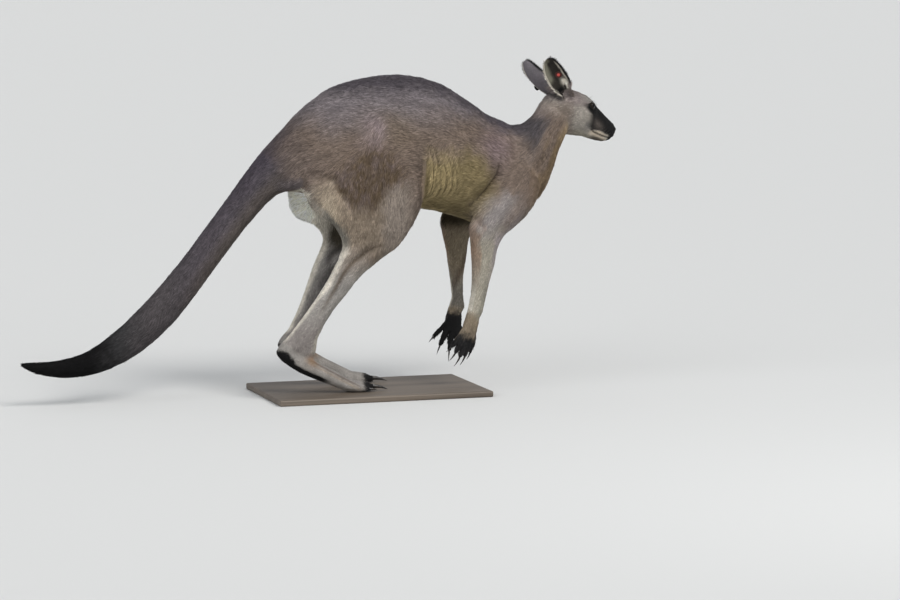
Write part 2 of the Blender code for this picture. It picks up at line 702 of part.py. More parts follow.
def limb_region(name, levels, side, grow=0.0):
    """A tall box round a limb, open to the animal's side."""
    rings = []
    for level, (z, rear, front, inner) in enumerate(levels):
        z += grow if level == len(levels) - 1 else 0.0
        corners = ((rear - grow, inner - grow), (front + grow, inner - grow))
        corners += ((front + grow, LIMB_OUTSIDE), (rear - grow, LIMB_OUTSIDE))
        rings.append([Vector((x, side * y, z)) for x, y in corners])
    vertices, faces = tube_mesh(rings)
    return hidden(facing_out(mesh_object(name, vertices, faces)))


def without_limb(body, name, levels, side):
    """Parts a limb from the body with a thin gap. Returns the limb and the rest."""
    region = limb_region(name + "_region", levels, side)
    wider = limb_region(name + "_region_wide", levels, side, GAP)
    limb = cut_with(copied(body, name), region, "INTERSECT")
    rest = cut_with(body, wider, "DIFFERENCE")
    bpy.data.objects.remove(region, do_unlink=True)
    bpy.data.objects.remove(wider, do_unlink=True)
    return limb, rest


def across_plane(cut):
    (x, z), (ahead, up) = cut
    return Vector((x, 0.0, z)), Vector((ahead, 0.0, up))


def flesh(body):
    """The body's parts by name."""
    pieces = {}
    for side, word in ((-1.0, "right"), (1.0, "left")):
        step = Vector((LEFT_STEP, 0, 0)) if side > 0 else Vector()
        leg, body = without_limb(body, "leg_" + word, LEG_REGION, side)
        thigh, lower = parted(leg, "thigh_" + word, "lower_leg_" + word, *across_plane(KNEE))
        point, normal = across_plane(ANKLE)
        shank, foot = parted(lower, "shank_" + word, "foot_" + word, point + step, normal)
        arm, body = without_limb(body, "arm_" + word, ARM_REGION, side)
        upper, lower = parted(arm, "upper_arm_" + word, "lower_arm_" + word, *across_plane(ELBOW))
        forearm, palm = parted(lower, "forearm_" + word, "hand_" + word, *across_plane(WRIST))
        for piece in (thigh, shank, foot, upper, forearm, palm):
            pieces[piece.name] = piece
    ahead, tail = parted(body, "ahead", "tail", *across_plane(TAIL_ROOT))
    root, rest = parted(tail, "tail_root", "tail_rest", *across_plane(TAIL_FIRST))
    middle, tip = parted(rest, "tail_middle", "tail_tip", *across_plane(TAIL_SECOND))
    front, trunk = parted(ahead, "front", "trunk", *across_plane(NECK_ROOT))
    head, neck = parted(front, "head", "neck", *across_plane(HEAD_ROOT))
    for piece in (root, middle, tip, trunk, head, neck):
        pieces[piece.name] = piece
    return pieces


# ---- ears, eyes, nose, tags and base ---------------------------------------------------
def ear_axes(which):
    """Root, direction to the tip, way it opens and direction across, in the world."""
    root, tip, opening = EARS[which]
    turn = head_frame().to_3x3()
    along = (turn @ tip).normalized()
    opening = turn @ opening
    opening = (opening - along * opening.dot(along)).normalized()
    return in_head(*root), along, opening, along.cross(opening).normalized()


def ear_half_width(u):
    """Share of the greatest half width: narrow at the root, full below the middle, pointed at the tip."""
    if u < EAR_WIDEST:
        return EAR_ROOT_WIDTH + (1.0 - EAR_ROOT_WIDTH) * math.sin(u / EAR_WIDEST * math.pi / 2)
    return math.sqrt(1.0 - ((u - EAR_WIDEST) / (EAR_TIP_END - EAR_WIDEST)) ** EAR_TIP_POWER)


def ear_point(which, u, v):
    """A point on the ear's mid surface: u from root to tip, v from edge to edge (-1 to 1)."""
    root, along, opening, across = ear_axes(which)
    opened = min(u / EAR_ROLL_SPAN, 1.0)
    half_angle = math.radians(EAR_ROLL_ROOT + (EAR_ROLL_TIP - EAR_ROLL_ROOT) * opened)
    radius = EAR_HALF_WIDTH[which] * ear_half_width(u) / math.sin(min(half_angle, math.pi / 2))
    bow = EAR_BOW * math.sin(math.pi * u)
    return (
        root
        + along * (EAR_LENGTH * u)
        + across * (radius * math.sin(v * half_angle))
        - opening * (radius * (math.cos(v * half_angle) - 0.5) + bow)
    )


def ear(which, head):
    """A thin rolled leaf of gristle and skin whose root ends just clear of the head."""
    count = EAR_ACROSS + 1
    rows = [
        [ear_point(which, i / EAR_STEPS, 2 * j / EAR_ACROSS - 1) for j in range(count)]
        for i in range(EAR_STEPS + 1)
    ]
    vertices = [point for row in rows for point in row]
    faces = []
    for i in range(EAR_STEPS):
        for j in range(EAR_ACROSS):
            a = i * count + j
            faces.append((a, a + 1, a + count + 1, a + count))
    obj = mesh_object("ear_" + which, vertices, faces)
    wall = obj.modifiers.new("wall", "SOLIDIFY")
    wall.thickness = EAR_WALL
    wall.offset = 0.0
    bake_modifiers(obj)
    return facing_out(cut_with(facing_out(obj), head, "DIFFERENCE"))


def ball(name, centre, radii, turn, slot, rings=8, around=12):
    """An ellipsoid with its axes along the turned x, y and z."""
    placed = Matrix.Translation(centre) @ turn.to_4x4() @ Matrix.Diagonal((*radii, 1.0))
    mesh = bmesh.new()
    bmesh.ops.create_uvsphere(mesh, u_segments=around, v_segments=rings, radius=1.0, matrix=placed)
    data = bpy.data.meshes.new(name)
    mesh.to_mesh(data)
    mesh.free()
    obj = bpy.data.objects.new(name, data)
    obj.data.materials.append(material(slot))
    bpy.context.scene.collection.objects.link(obj)
    return facing_out(obj)


def eye(which):
    out = EYE_PLACE[1] * (-1 if which == "right" else 1)
    centre = in_head(EYE_PLACE[0], out, EYE_PLACE[2])
    return ball("eye_" + which, centre, (EYE_RADIUS,) * 3, head_frame().to_3x3(), "eye")


def ear_tag(which, slot):
    """A round button tag on a short pin that goes through the ear, with a smaller back plate."""
    u, v, outward, radius = TAGS[which]
    place = ear_point(which, u, v)
    across = ear_point(which, u, v + 0.05) - ear_point(which, u, v - 0.05)
    axis = across.cross(ear_axes(which)[1]).normalized()
    if axis.dot(ear_axes(which)[2]) < 0:
        axis.negate()
    axis *= outward
    outer = TAG_STAND + TAG_THICKNESS
    profile = (  # height along the pin, radius
        (-outer, TAG_BACK_SHARE * radius),
        (-TAG_STAND, TAG_BACK_SHARE * radius),
        (-TAG_STAND, TAG_PIN_RADIUS),
        (TAG_STAND, TAG_PIN_RADIUS),
        (TAG_STAND, radius),
        (outer, TAG_FRONT_SHARE * radius),
    )
    side = axis.orthogonal().normalized()
    over = axis.cross(side).normalized()
    circles = []
    for height, size in profile:
        turns = [math.tau * i / TAG_POINTS for i in range(TAG_POINTS)]
        centre = place + axis * height
        circles.append([centre + (side * math.cos(a) + over * math.sin(a)) * size for a in turns])
    vertices, faces = tube_mesh(circles)
    return facing_out(mesh_object("ear_tag_" + which, vertices, faces, slot))


def stand_base():
    """The flat base under the feet, bevelled all round."""
    mesh = bmesh.new()
    size = Matrix.Diagonal((BASE_LENGTH, BASE_WIDTH, BASE_THICKNESS, 1.0))
    centre = Matrix.Translation((BASE_CENTRE_X, 0.0, -BASE_THICKNESS / 2 - GAP))
    bmesh.ops.create_cube(mesh, size=1.0, matrix=centre @ size)
    data = bpy.data.meshes.new("stand_base")
    mesh.to_mesh(data)
    mesh.free()
    obj = bpy.data.objects.new("stand_base", data)
    obj.data.materials.append(material("base"))
    bpy.context.scene.collection.objects.link(obj)
    edge = obj.modifiers.new("edge", "BEVEL")
    edge.width = BASE_BEVEL
    edge.segments = 2
    return bake_modifiers(obj)


def without_slivers(obj):
    """Dissolves the needle-thin facets that cuts leave, and splits what is left into triangles."""
    mesh = bmesh.new()
    mesh.from_mesh(obj.data)
    bmesh.ops.dissolve_degenerate(mesh, edges=mesh.edges, dist=SLIVER)
    bmesh.ops.triangulate(mesh, faces=mesh.faces)
    bmesh.ops.recalc_face_normals(mesh, faces=mesh.faces)
    mesh.to_mesh(obj.data)
    mesh.free()
    return obj


def clear_of(obj, neighbour):
    """Cuts the neighbour's shape, grown by the gap, out of the object."""
    cutter = grown(neighbour, neighbour.name + "_cutter", GAP)
    cut_with(obj, cutter, "DIFFERENCE")
    bpy.data.objects.remove(cutter, do_unlink=True)
    return obj


def flat_soles(foot):
    """Presses what reaches below the floor level up to it, which leaves small flats."""
    for vertex in foot.data.vertices:
        vertex.co.z = max(vertex.co.z, 0.0)


def centre_all(objects):
    """Moves every mesh so that the origin is the middle of the underside of the whole box."""
    places = [vertex.co for obj in objects for vertex in obj.data.vertices]
    low = Vector([min(place[axis] for place in places) for axis in range(3)])
    high = Vector([max(place[axis] for place in places) for axis in range(3)])
    shift = Matrix.Translation((-(low.x + high.x) / 2, -(low.y + high.y) / 2, -low.z))
    for obj in objects:
        obj.data.transform(shift)


def build():
    clear_scene()
    pieces = flesh(whole_body())
    for word in ("right", "left"):
        flat_soles(pieces["foot_" + word])
        pieces["eye_" + word] = eye(word)
        clear_of(pieces["head"], pieces["eye_" + word])
    turn = head_frame().to_3x3()
    pieces["nose"] = ball("nose", in_head(*NOSE_PLACE), NOSE_RADII, turn, "nose")
    clear_of(pieces["head"], pieces["nose"])
    for piece in claws():
        owner = ("foot_" if "_toe_" in piece.name else "hand_") + piece.name.rsplit("_", 1)[1]
        clear_of(piece, pieces[owner])
        pieces[piece.name] = facing_out(piece)
    head_wide = grown(pieces["head"], "head_wide", GAP)
    for word, slot in (("right", "red_tag"), ("left", "dark_tag")):
        pieces["ear_" + word] = ear(word, head_wide)
        pieces["ear_tag_" + word] = ear_tag(word, slot)
        clear_of(pieces["ear_" + word], pieces["ear_tag_" + word])
    bpy.data.objects.remove(head_wide, do_unlink=True)
    pieces["stand_base"] = stand_base()
    centre_all(pieces.values())
    for obj in pieces.values():
        without_slivers(obj)
        if not obj.data.materials:
            obj.data.materials.append(material("coat"))
        obj.data.shade_smooth()
        obj.data.set_sharp_from_angle(angle=math.radians(50.0))
    return pieces


build()
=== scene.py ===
"""Eastern grey kangaroo, an adult male, as a still museum model: its skin, coat, eyes, nose, claws,
ear tags and base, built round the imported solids, with a plain stage, lights and a camera.

Lengths are metres. Places are given from the point on the base under the ball of the right hind
foot: x ahead, y to the animal's left, z up. Places on the head are in the head's own frame:
along the muzzle, out to the animal's left, up.
"""

import math

import bmesh
import bpy
import numpy as np
from bpy.props import FloatProperty, FloatVectorProperty, IntProperty, PointerProperty
from bpy.types import Operator, Panel, PropertyGroup
from mathutils import Matrix, Vector
from mathutils.bvhtree import BVHTree
from mathutils.kdtree import KDTree


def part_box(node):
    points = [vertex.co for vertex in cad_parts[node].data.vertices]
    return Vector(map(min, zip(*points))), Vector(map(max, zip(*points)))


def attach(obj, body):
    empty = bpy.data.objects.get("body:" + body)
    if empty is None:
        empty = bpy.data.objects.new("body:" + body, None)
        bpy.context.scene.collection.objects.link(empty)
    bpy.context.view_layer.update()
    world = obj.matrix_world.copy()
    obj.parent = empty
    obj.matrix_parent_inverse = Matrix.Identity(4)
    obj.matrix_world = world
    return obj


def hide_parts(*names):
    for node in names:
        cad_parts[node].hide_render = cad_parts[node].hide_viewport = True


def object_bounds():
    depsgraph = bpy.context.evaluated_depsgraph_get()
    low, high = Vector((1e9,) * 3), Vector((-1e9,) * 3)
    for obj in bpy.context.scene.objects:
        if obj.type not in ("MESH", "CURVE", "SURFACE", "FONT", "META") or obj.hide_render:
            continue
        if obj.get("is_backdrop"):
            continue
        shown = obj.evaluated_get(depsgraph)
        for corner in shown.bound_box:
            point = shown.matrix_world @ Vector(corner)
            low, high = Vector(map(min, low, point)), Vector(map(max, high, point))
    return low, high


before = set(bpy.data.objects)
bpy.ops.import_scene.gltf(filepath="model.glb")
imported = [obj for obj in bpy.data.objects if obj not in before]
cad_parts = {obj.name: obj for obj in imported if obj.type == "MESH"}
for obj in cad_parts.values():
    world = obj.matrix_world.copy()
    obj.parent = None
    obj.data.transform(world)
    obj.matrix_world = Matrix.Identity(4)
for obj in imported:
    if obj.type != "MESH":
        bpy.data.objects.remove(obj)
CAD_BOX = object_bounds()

bl_info = {
    "name": "Grey Kangaroo Model",
    "version": (1, 0, 0),
    "blender": (4, 5, 0),
    "location": "View3D > Sidebar > Kangaroo",
    "description": "Builds the skin, coat and fittings of a life-size kangaroo model",
    "category": "Object",
}

SIDES = {"right": -1.0, "left": 1.0}

# ---- where the animal stands
BASE_CENTRE_X = 0.062  # the base's middle, ahead of the ball of the right foot
FOOT_GAP = 0.0005
BASE_LOW, BASE_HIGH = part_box("stand_base")
STANCE = Vector(((BASE_LOW.x + BASE_HIGH.x) / 2 - BASE_CENTRE_X, 0.0, BASE_HIGH.z + FOOT_GAP))

HEAD_ORIGIN = Vector((0.65, 0.0, 0.825))
HEAD_PITCH = math.radians(21.0)
HEAD_YAW = math.radians(10.0)
HEAD = (
    Matrix.Translation(STANCE + HEAD_ORIGIN)
    @ Matrix.Rotation(HEAD_YAW, 4, "Z")
    @ Matrix.Rotation(HEAD_PITCH, 4, "Y")
)

# ---- skin
SKIN_VOXEL = 0.0133  # grid of the skin, before it is shrunk by the lenses below
SKIN_PASSES = 4
BROAD_PASSES = 12  # further passes that only the large forms get
FIT_LIMIT = 0.014  # furthest that the smoothed skin is moved back to the solids
FIT_PASSES = 6
# Places whose detail is magnified while the skin is made: centre, radius, magnification.
LENSES = (
    ((0.748, 0.018, 0.848), 0.15, 3.0),
    ((0.344, -0.083, 0.15), 0.085, 3.0),
    ((0.35, 0.081, 0.15), 0.085, 3.0),
    ((0.01, -0.085, 0.02), 0.08, 2.3),
    ((0.06, 0.085, 0.02), 0.08, 2.3),
)

# ---- limbs and body as lines of bone
# Each line runs the way the hair lies: (x, y, z, radius). Places of the right side are mirrored.
TAIL_LINE = (
    (-0.15, 0.0, 0.71, 0.095),
    (-0.253, 0.0, 0.641, 0.072),
    (-0.33, 0.0, 0.555, 0.06),
    (-0.414, 0.0, 0.451, 0.056),
    (-0.492, 0.0, 0.352, 0.053),
    (-0.581, 0.0, 0.249, 0.05),
    (-0.677, 0.0, 0.167, 0.046),
    (-0.771, 0.0, 0.113, 0.04),
    (-0.857, 0.0, 0.094, 0.032),
    (-0.929, 0.0, 0.096, 0.024),
    (-1.006, 0.0, 0.112, 0.01),
)
TRUNK_LINE = (
    (0.56, 0.0, 0.65, 0.085),
    (0.43, 0.0, 0.655, 0.15),
    (0.27, 0.0, 0.725, 0.19),
    (0.1, 0.0, 0.755, 0.195),
    (-0.05, 0.0, 0.745, 0.16),
    (-0.15, 0.0, 0.71, 0.11),
)
NECK_LINE = (
    (0.68, 0.0, 0.825, 0.06),
    (0.625, 0.0, 0.755, 0.07),
    (0.56, 0.0, 0.65, 0.1),
)
HEAD_LINE = (  # in the head's frame
    (0.23, 0.0, 0.0, 0.024),
    (0.19, 0.0, 0.002, 0.032),
    (0.14, 0.0, 0.01, 0.042),
    (0.08, 0.0, 0.012, 0.06),
    (0.02, 0.0, 0.008, 0.058),
)
THIGH_LINE = (
    (0.06, 0.09, 0.78, 0.07),
    (0.045, 0.095, 0.65, 0.12),
    (0.035, 0.1, 0.54, 0.105),
    (0.035, 0.106, 0.447, 0.072),
)
SHANK_LINE = (
    (0.035, 0.106, 0.447, 0.06),
    (-0.04, 0.1, 0.352, 0.042),
    (-0.128, 0.091, 0.23, 0.035),
    (-0.18, 0.086, 0.155, 0.036),
)
FOOT_LINE = (
    (-0.215, 0.085, 0.125, 0.03),
    (-0.135, 0.085, 0.07, 0.03),
    (-0.05, 0.085, 0.03, 0.028),
    (0.045, 0.085, 0.012, 0.022),
)
UPPER_ARM_LINE = (
    (0.52, 0.078, 0.64, 0.06),
    (0.46, 0.093, 0.55, 0.056),
    (0.402, 0.099, 0.465, 0.05),
)
FOREARM_LINE = (
    (0.402, 0.099, 0.465, 0.046),
    (0.386, 0.094, 0.32, 0.032),
    (0.37, 0.088, 0.215, 0.025),
)
HAND_LINE = {
    -1.0: ((0.366, -0.087, 0.215, 0.024), (0.334, -0.081, 0.1, 0.03)),
    1.0: ((0.366, 0.087, 0.215, 0.024), (0.345, 0.08, 0.1, 0.034)),
}
HAND_X = 0.35  # both hands hang within 0.1 of this
LEFT_STEP = 0.05  # the left foot stands this far ahead of the right one
STEP_FADE = (0.36, 0.14)  # the step grows from nothing to full between these heights
LEFT_RUMP_STEP = 0.068  # and the left side's rear edge lies this much further ahead
LEFT_ARM_BACK = 0.022  # and the left arm hangs this much further back

# ---- coat
# For each kind of place: hair length, the skin's depth under the hair's outline, how steeply
# the hair stands in degrees, a tuft's width, and the space between tufts.
HAIR = {
    "muzzle": (0.005, 0.0008, 8.0, 0.0008, 0.0019),
    "head": (0.008, 0.0012, 9.0, 0.001, 0.0023),
    "neck": (0.0165, 0.0026, 11.0, 0.0014, 0.0028),
    "trunk": (0.02, 0.003, 11.0, 0.0017, 0.0031),
    "tail": (0.015, 0.0024, 10.0, 0.0016, 0.003),
    "thigh": (0.018, 0.0028, 11.0, 0.0016, 0.0031),
    "shank": (0.0105, 0.0015, 9.0, 0.0012, 0.0027),
    "foot": (0.007, 0.001, 8.0, 0.001, 0.0024),
    "upper_arm": (0.014, 0.0022, 10.0, 0.0014, 0.0029),
    "forearm": (0.0105, 0.0014, 9.0, 0.0012, 0.0026),
    "hand": (0.0082, 0.0008, 9.0, 0.0011, 0.0021),
    "ear": (0.005, 0.0, 9.0, 0.0008, 0.0022),
}
KINDS = list(HAIR)
PIECE_TUFTS = 18500  # most tufts in one piece of coat
PATCH = 0.003  # side of a tuft's patch on the bake map
NORMAL_SOFTNESS = 0.8  # share of the skin's own normal in a tuft's normals

# ---- ears
EAR_LENGTH = 0.126
EAR_HALF_WIDTH = {"right": 0.0305, "left": 0.027}
EAR_WIDEST = 0.42
EAR_ROLL_ROOT = 118.0
EAR_ROLL_TIP = 58.0
EAR_ROLL_SPAN = 0.75
EAR_ROOT_WIDTH = 0.58
EAR_TIP_POWER = 2.2
EAR_TIP_END = 1.004
EAR_BOW = 0.01
EAR_SINK = -0.16  # the ear's root starts this far inside the head, as a share of its length
EAR_ROWS = 30
EAR_COLUMNS = 22
EAR_WALL_ROOT = 0.0046
EAR_WALL_EDGE = 0.0022
# Root, tip direction and the way the ear opens, in the head's frame.
EARS = {
    "right": ((0.002, -0.032, 0.056), (-0.81, -0.11, 0.575), (-0.29, -0.95, 0.04)),
    "left": ((-0.008, 0.034, 0.052), (-0.83, 0.25, 0.5), (0.93, 0.33, 0.15)),
}
EARS_CENTRE = (-0.05, 0.0, 0.1)  # both ears lie within this reach of it
EARS_REACH = 0.12
# A tag's place up and across the ear, the face of the ear it sits on, and its radius.
TAGS = {"right": (0.43, 0.36, 1.0, 0.0105), "left": (0.29, 0.9, -1.0, 0.009)}

# ---- eyes and nose
EYE_PLACE = (0.097, 0.0385, 0.047)
EYE_RADIUS = 0.0138
EYE_OUT = (0.2, 0.93, 0.25)  # the way the right-hand socket opens, mirrored for the other
EYE_SLIT = (0.9, -0.16, -0.36)  # the way the eye's long axis runs
EYE_HALF_LENGTH = 0.0108
EYE_HALF_HEIGHT = 0.0078
NOSE_PLACE = (0.2145, 0.0, 0.012)
NOSE_RADII = (0.0122, 0.016, 0.0125)
NOSE_BARE = (0.016, 0.017, 0.013)  # radii of the place without hair round it
MOUTH_LINE = (  # along, up
    (0.228, -0.01),
    (0.215, -0.0155),
    (0.195, -0.0195),
    (0.17, -0.0215),
    (0.145, -0.0205),
    (0.126, -0.0165),
)


# ---- settings
def colour_property(name, default, description):
    return FloatVectorProperty(
        name=name, description=description, subtype="COLOR", size=3, min=0.0, max=1.0, default=default
    )


class KangarooSkinSettings(PropertyGroup):
    voxel: FloatProperty(
        name="Skin grid", description="Spacing of the skin's grid", default=SKIN_VOXEL, unit="LENGTH"
    )
    fold_depth: FloatProperty(
        name="Fold depth", description="Depth of the folds on the flank", default=0.0036, unit="LENGTH"
    )


class KangarooCoatSettings(PropertyGroup):
    spacing: FloatProperty(
        name="Spacing", description="Space between tufts, against the standard one", default=1.0, min=0.5
    )
    seed: IntProperty(name="Seed", description="Start of the coat's random draws", default=7)
    back: colour_property("Back", (0.071, 0.062, 0.07), "Hair along the ridge of the back")
    loin: colour_property("Loin", (0.172, 0.15, 0.155), "Hair high on the sides and rump")
    flank: colour_property("Flank", (0.16, 0.122, 0.098), "Hair on the sides")
    fold: colour_property("Flank folds", (0.262, 0.206, 0.106), "Hair low on the flank")
    belly: colour_property("Belly", (0.44, 0.405, 0.345), "Hair under the belly and rump")
    thigh: colour_property("Thigh", (0.104, 0.076, 0.054), "Mottled hair across the thigh")
    tan: colour_property("Tan", (0.24, 0.192, 0.145), "Hair low on the thigh and on the throat")
    shank: colour_property("Shank", (0.3, 0.28, 0.258), "Hair on the shanks and forearms")
    tail: colour_property("Tail", (0.086, 0.076, 0.079), "Hair on the upper tail")
    dark: colour_property("Dark points", (0.007, 0.0068, 0.007), "Tail tip, hands, toes and soles")
    cheek: colour_property("Cheek", (0.29, 0.265, 0.232), "Hair on the cheeks")
    crown: colour_property("Crown", (0.225, 0.192, 0.18), "Hair on the crown and nape")
    mask: colour_property("Face patch", (0.009, 0.0086, 0.0088), "Black hair from the eye to the nose")
    lip: colour_property("Lip", (0.47, 0.4, 0.315), "Hair along the upper lip")


class KangarooStageSettings(PropertyGroup):
    floor: colour_property("Floor", (0.64, 0.64, 0.63), "The plain floor")
    floor_size: FloatProperty(
        name="Floor size", description="Side of the floor", default=600.0, unit="LENGTH"
    )
    key_power: FloatProperty(name="Key", description="Strength of the main light", default=1.9, min=0.0)


# ---- mesh helpers
def linked(name, data):
    obj = bpy.data.objects.new(name, data)
    bpy.context.scene.collection.objects.link(obj)
    return obj


def array_mesh(name, vertices, sizes, corners):
    """A mesh from arrays: vertex places, the number of corners of each face, and the corners in order."""
    mesh = bpy.data.meshes.new(name)
    sizes = np.asarray(sizes, np.int32)
    corners = np.asarray(corners, np.int32)
    mesh.vertices.add(len(vertices))
    mesh.vertices.foreach_set("co", np.asarray(vertices, np.float32).ravel())
    mesh.loops.add(len(corners))
    mesh.loops.foreach_set("vertex_index", corners)
    mesh.polygons.add(len(sizes))
    starts = np.concatenate(([0], np.cumsum(sizes)[:-1])).astype(np.int32)
    mesh.polygons.foreach_set("loop_start", starts)
    mesh.polygons.foreach_set("use_smooth", np.ones(len(sizes), bool))
    mesh.update(calc_edges=True)
    mesh.validate()
    return mesh


def read_rows(items, name, width, kind=np.float32):
    """One attribute of every item of a collection, a row for each."""
    out = np.empty(len(items) * width, kind)
    items.foreach_get(name, out)
    return out.reshape(-1, width)


def places_of(mesh):
    return read_rows(mesh.vertices, "co", 3).astype(float)


def set_places(mesh, places):
    mesh.vertices.foreach_set("co", np.asarray(places, np.float32).ravel())
    mesh.update()


def normals_of(mesh):
    return read_rows(mesh.vertices, "normal", 3).astype(float)


def stored(source, mesh):
    """Writes an edited bmesh into a mesh and lets it go."""
    source.to_mesh(mesh)
    source.free()
    return mesh


def lengths(vectors):
    return np.linalg.norm(vectors, axis=1)


def unit(vectors):
    return vectors / np.maximum(np.linalg.norm(vectors, axis=-1, keepdims=True), 1e-9)


def applied(obj):
    """Applies the object's modifiers to its mesh."""
    graph = bpy.context.evaluated_depsgraph_get()
    graph.update()
    mesh = bpy.data.meshes.new_from_object(obj.evaluated_get(graph), depsgraph=graph)
    obj.modifiers.clear()
    obj.data = mesh
    return obj


def rounded(obj, levels):
    surface = obj.modifiers.new("round", "SUBSURF")
    surface.levels = levels
    surface.render_levels = levels
    return applied(obj)


def ramp(values, low, high):
    """0 below low, 1 above high, and a smooth rise between. low may be above high."""
    t = np.clip((np.asarray(values) - low) / (high - low), 0.0, 1.0)
    return t * t * (3.0 - 2.0 * t)


def hump(values, centre, width):
    return np.exp(-(((np.asarray(values) - centre) / width) ** 2))


def value_noise(places, size, seed):
    """Smooth random values from -1 to 1 on a grid of the given size."""
    q = np.asarray(places, float) / size
    cell = np.floor(q).astype(np.int64)
    f = q - cell
    f = f * f * (3.0 - 2.0 * f)
    total = np.zeros(len(q))
    for dx, dy, dz in np.ndindex(2, 2, 2):  # a hash of each corner of the cell
        h = (cell[:, 0] + dx) * 374761393 + (cell[:, 1] + dy) * 668265263
        h = h + (cell[:, 2] + dz) * 1440662683 + seed * 974711
        h = (h ^ (h >> 13)) * 1274126177
        h = (h ^ (h >> 16)) & 0xFFFF
        weight = (f[:, 0] if dx else 1 - f[:, 0]) * (f[:, 1] if dy else 1 - f[:, 1])
        weight = weight * (f[:, 2] if dz else 1 - f[:, 2])
        total += weight * (h / 32767.5 - 1.0)
    return total


def layered_noise(places, size, seed, layers=3):
    total = np.zeros(len(places))
    for layer in range(layers):
        total += value_noise(places, size / 2**layer, seed + layer) * 0.5**layer
    return total / (2.0 - 0.5 ** (layers - 1))


def segment_distance(places, a, b):
    """Distance from each place to the segment from a to b, and the share of the way along it."""
    a, b = np.asarray(a, float), np.asarray(b, float)
    along = b - a
    share = np.clip(((places - a) @ along) / (along @ along), 0.0, 1.0)
    return lengths(places - (a + share[:, None] * along)), share


def line_distance(places, *lines):
    """Distance from each place to the nearest of some lines of points; far places give 1."""
    nearest = np.full(len(places), 1.0)
    for points in lines:
        for a, b in zip(points[:-1], points[1:]):
            nearest = np.minimum(nearest, segment_distance(places, a, b)[0])
    return nearest


def swell(places, centre, radii):
    """1 at the centre, fading out smoothly over the radii."""
    away = ((places - centre) / radii) ** 2
    return np.exp(-away.sum(1))


def mirrored(place, side):
    return np.array(place) * (1.0, side, 1.0)


# ---- the animal's own frames
def in_stance(places):
    return np.asarray(places, float) - np.array(STANCE)


def in_head(places):
    """The same places in the head's frame."""
    turn = np.array(HEAD.inverted())
    return np.asarray(places, float) @ turn[:3, :3].T + turn[:3, 3]


def from_head(places):
    turn = np.array(HEAD)
    return np.asarray(places, float) @ turn[:3, :3].T + turn[:3, 3]


HEAD_TURN = np.array(HEAD.to_3x3())


def bone_lines():
    """Every line of bone as (kind, side, points with radii), in the model's frame."""
    shift = np.array((*STANCE, 0.0))
    lines = []
    head = np.array(HEAD_LINE)
    head[:, :3] = from_head(head[:, :3])
    lines.append(("muzzle", 0.0, head[:3]))
    lines.append(("head", 0.0, head[2:]))
    for kind, line in (("neck", NECK_LINE), ("trunk", TRUNK_LINE), ("tail", TAIL_LINE)):
        lines.append((kind, 0.0, np.array(line) + shift))
    for side in SIDES.values():
        mirror = np.array((1.0, side, 1.0, 1.0))
        for kind, line in (
            ("thigh", THIGH_LINE),
            ("shank", SHANK_LINE),
            ("foot", FOOT_LINE),
            ("upper_arm", UPPER_ARM_LINE),
            ("forearm", FOREARM_LINE),
        ):
            points = np.array(line) * mirror
            if side > 0 and kind in ("shank", "foot"):
                points[:, 0] += LEFT_STEP * ramp(points[:, 2], *STEP_FADE)
            if side > 0 and kind in ("upper_arm", "forearm"):
                points[:, 0] -= LEFT_ARM_BACK * hump(points[:, 2], 0.46, 0.16)
            lines.append((kind, side, points + shift))
        lines.append(("hand", side, np.array(HAND_LINE[side]) + shift))
    return lines


def body_field(places):
    """For each place: the weight of each kind of bone line, and the way the hair lies there."""
    weights = np.zeros((len(places), len(KINDS)))
    flow = np.zeros((len(places), 3))
    for kind, _, points in bone_lines():
        for start, end in zip(points[:-1], points[1:]):
            distance, share = segment_distance(places, start[:3], end[:3])
            radius = start[3] + (end[3] - start[3]) * share
            weight = 1.0 / ((distance / radius) ** 6 + 0.02)
            weights[:, KINDS.index(kind)] += weight
            flow += weight[:, None] * unit(end[:3] - start[:3])
    weights /= weights.sum(1, keepdims=True)
    return weights, unit(flow)


def shares_of(places):
    """The weight of each kind of bone line by its name."""
    weights, _ = body_field(places)
    return {kind: weights[:, i] for i, kind in enumerate(KINDS)}


def hair_value(weights, index):
    return weights @ np.array([HAIR[kind][index] for kind in KINDS])


# ---- skin
def flesh_nodes():
    """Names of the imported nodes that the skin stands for."""
    words = ("claw_", "eye_", "ear_tag_", "nose", "stand_")
    return [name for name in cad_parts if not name.startswith(words)]


def lens_steps():
    """Each lens with its centre where the earlier lenses put it."""
    centres = np.array([centre for centre, _, _ in LENSES]) + np.array(STANCE)
    steps = []
    for i, (_, radius, power) in enumerate(LENSES):
        centre = centres[i].copy()
        steps.append((centre, radius, power))
        centres = through_lens(centres, centre, radius, power)
    return steps


def through_lens(places, centre, radius, power, back=False):
    """Magnifies what is within the radius and moves the rest outward, or takes that back."""
    away = places - centre
    distance = np.maximum(np.linalg.norm(away, axis=1, keepdims=True), 1e-9)
    shift = radius * (power - 1.0)
    if back:
        moved = np.where(distance < radius * power, distance / power, distance - shift)
    else:
        moved = np.where(distance < radius, distance * power, distance + shift)
    return centre + away * (moved / distance)


def smoothed(obj, passes, share=None):
    """Laplacian smoothing through Blender's Smooth modifier; share is a weight for each vertex."""
    step = obj.modifiers.new("smooth", "SMOOTH")
    step.factor = 0.5
    step.iterations = passes
    if share is not None:
        group = obj.vertex_groups.new(name="share")
        for level in np.unique(np.round(share, 2)):
            chosen = np.nonzero(np.round(share, 2) == level)[0]
            if level > 0:
                group.add(chosen.tolist(), float(level), "REPLACE")
        step.vertex_group = group.name
    applied(obj)
    obj.vertex_groups.clear()
    return obj


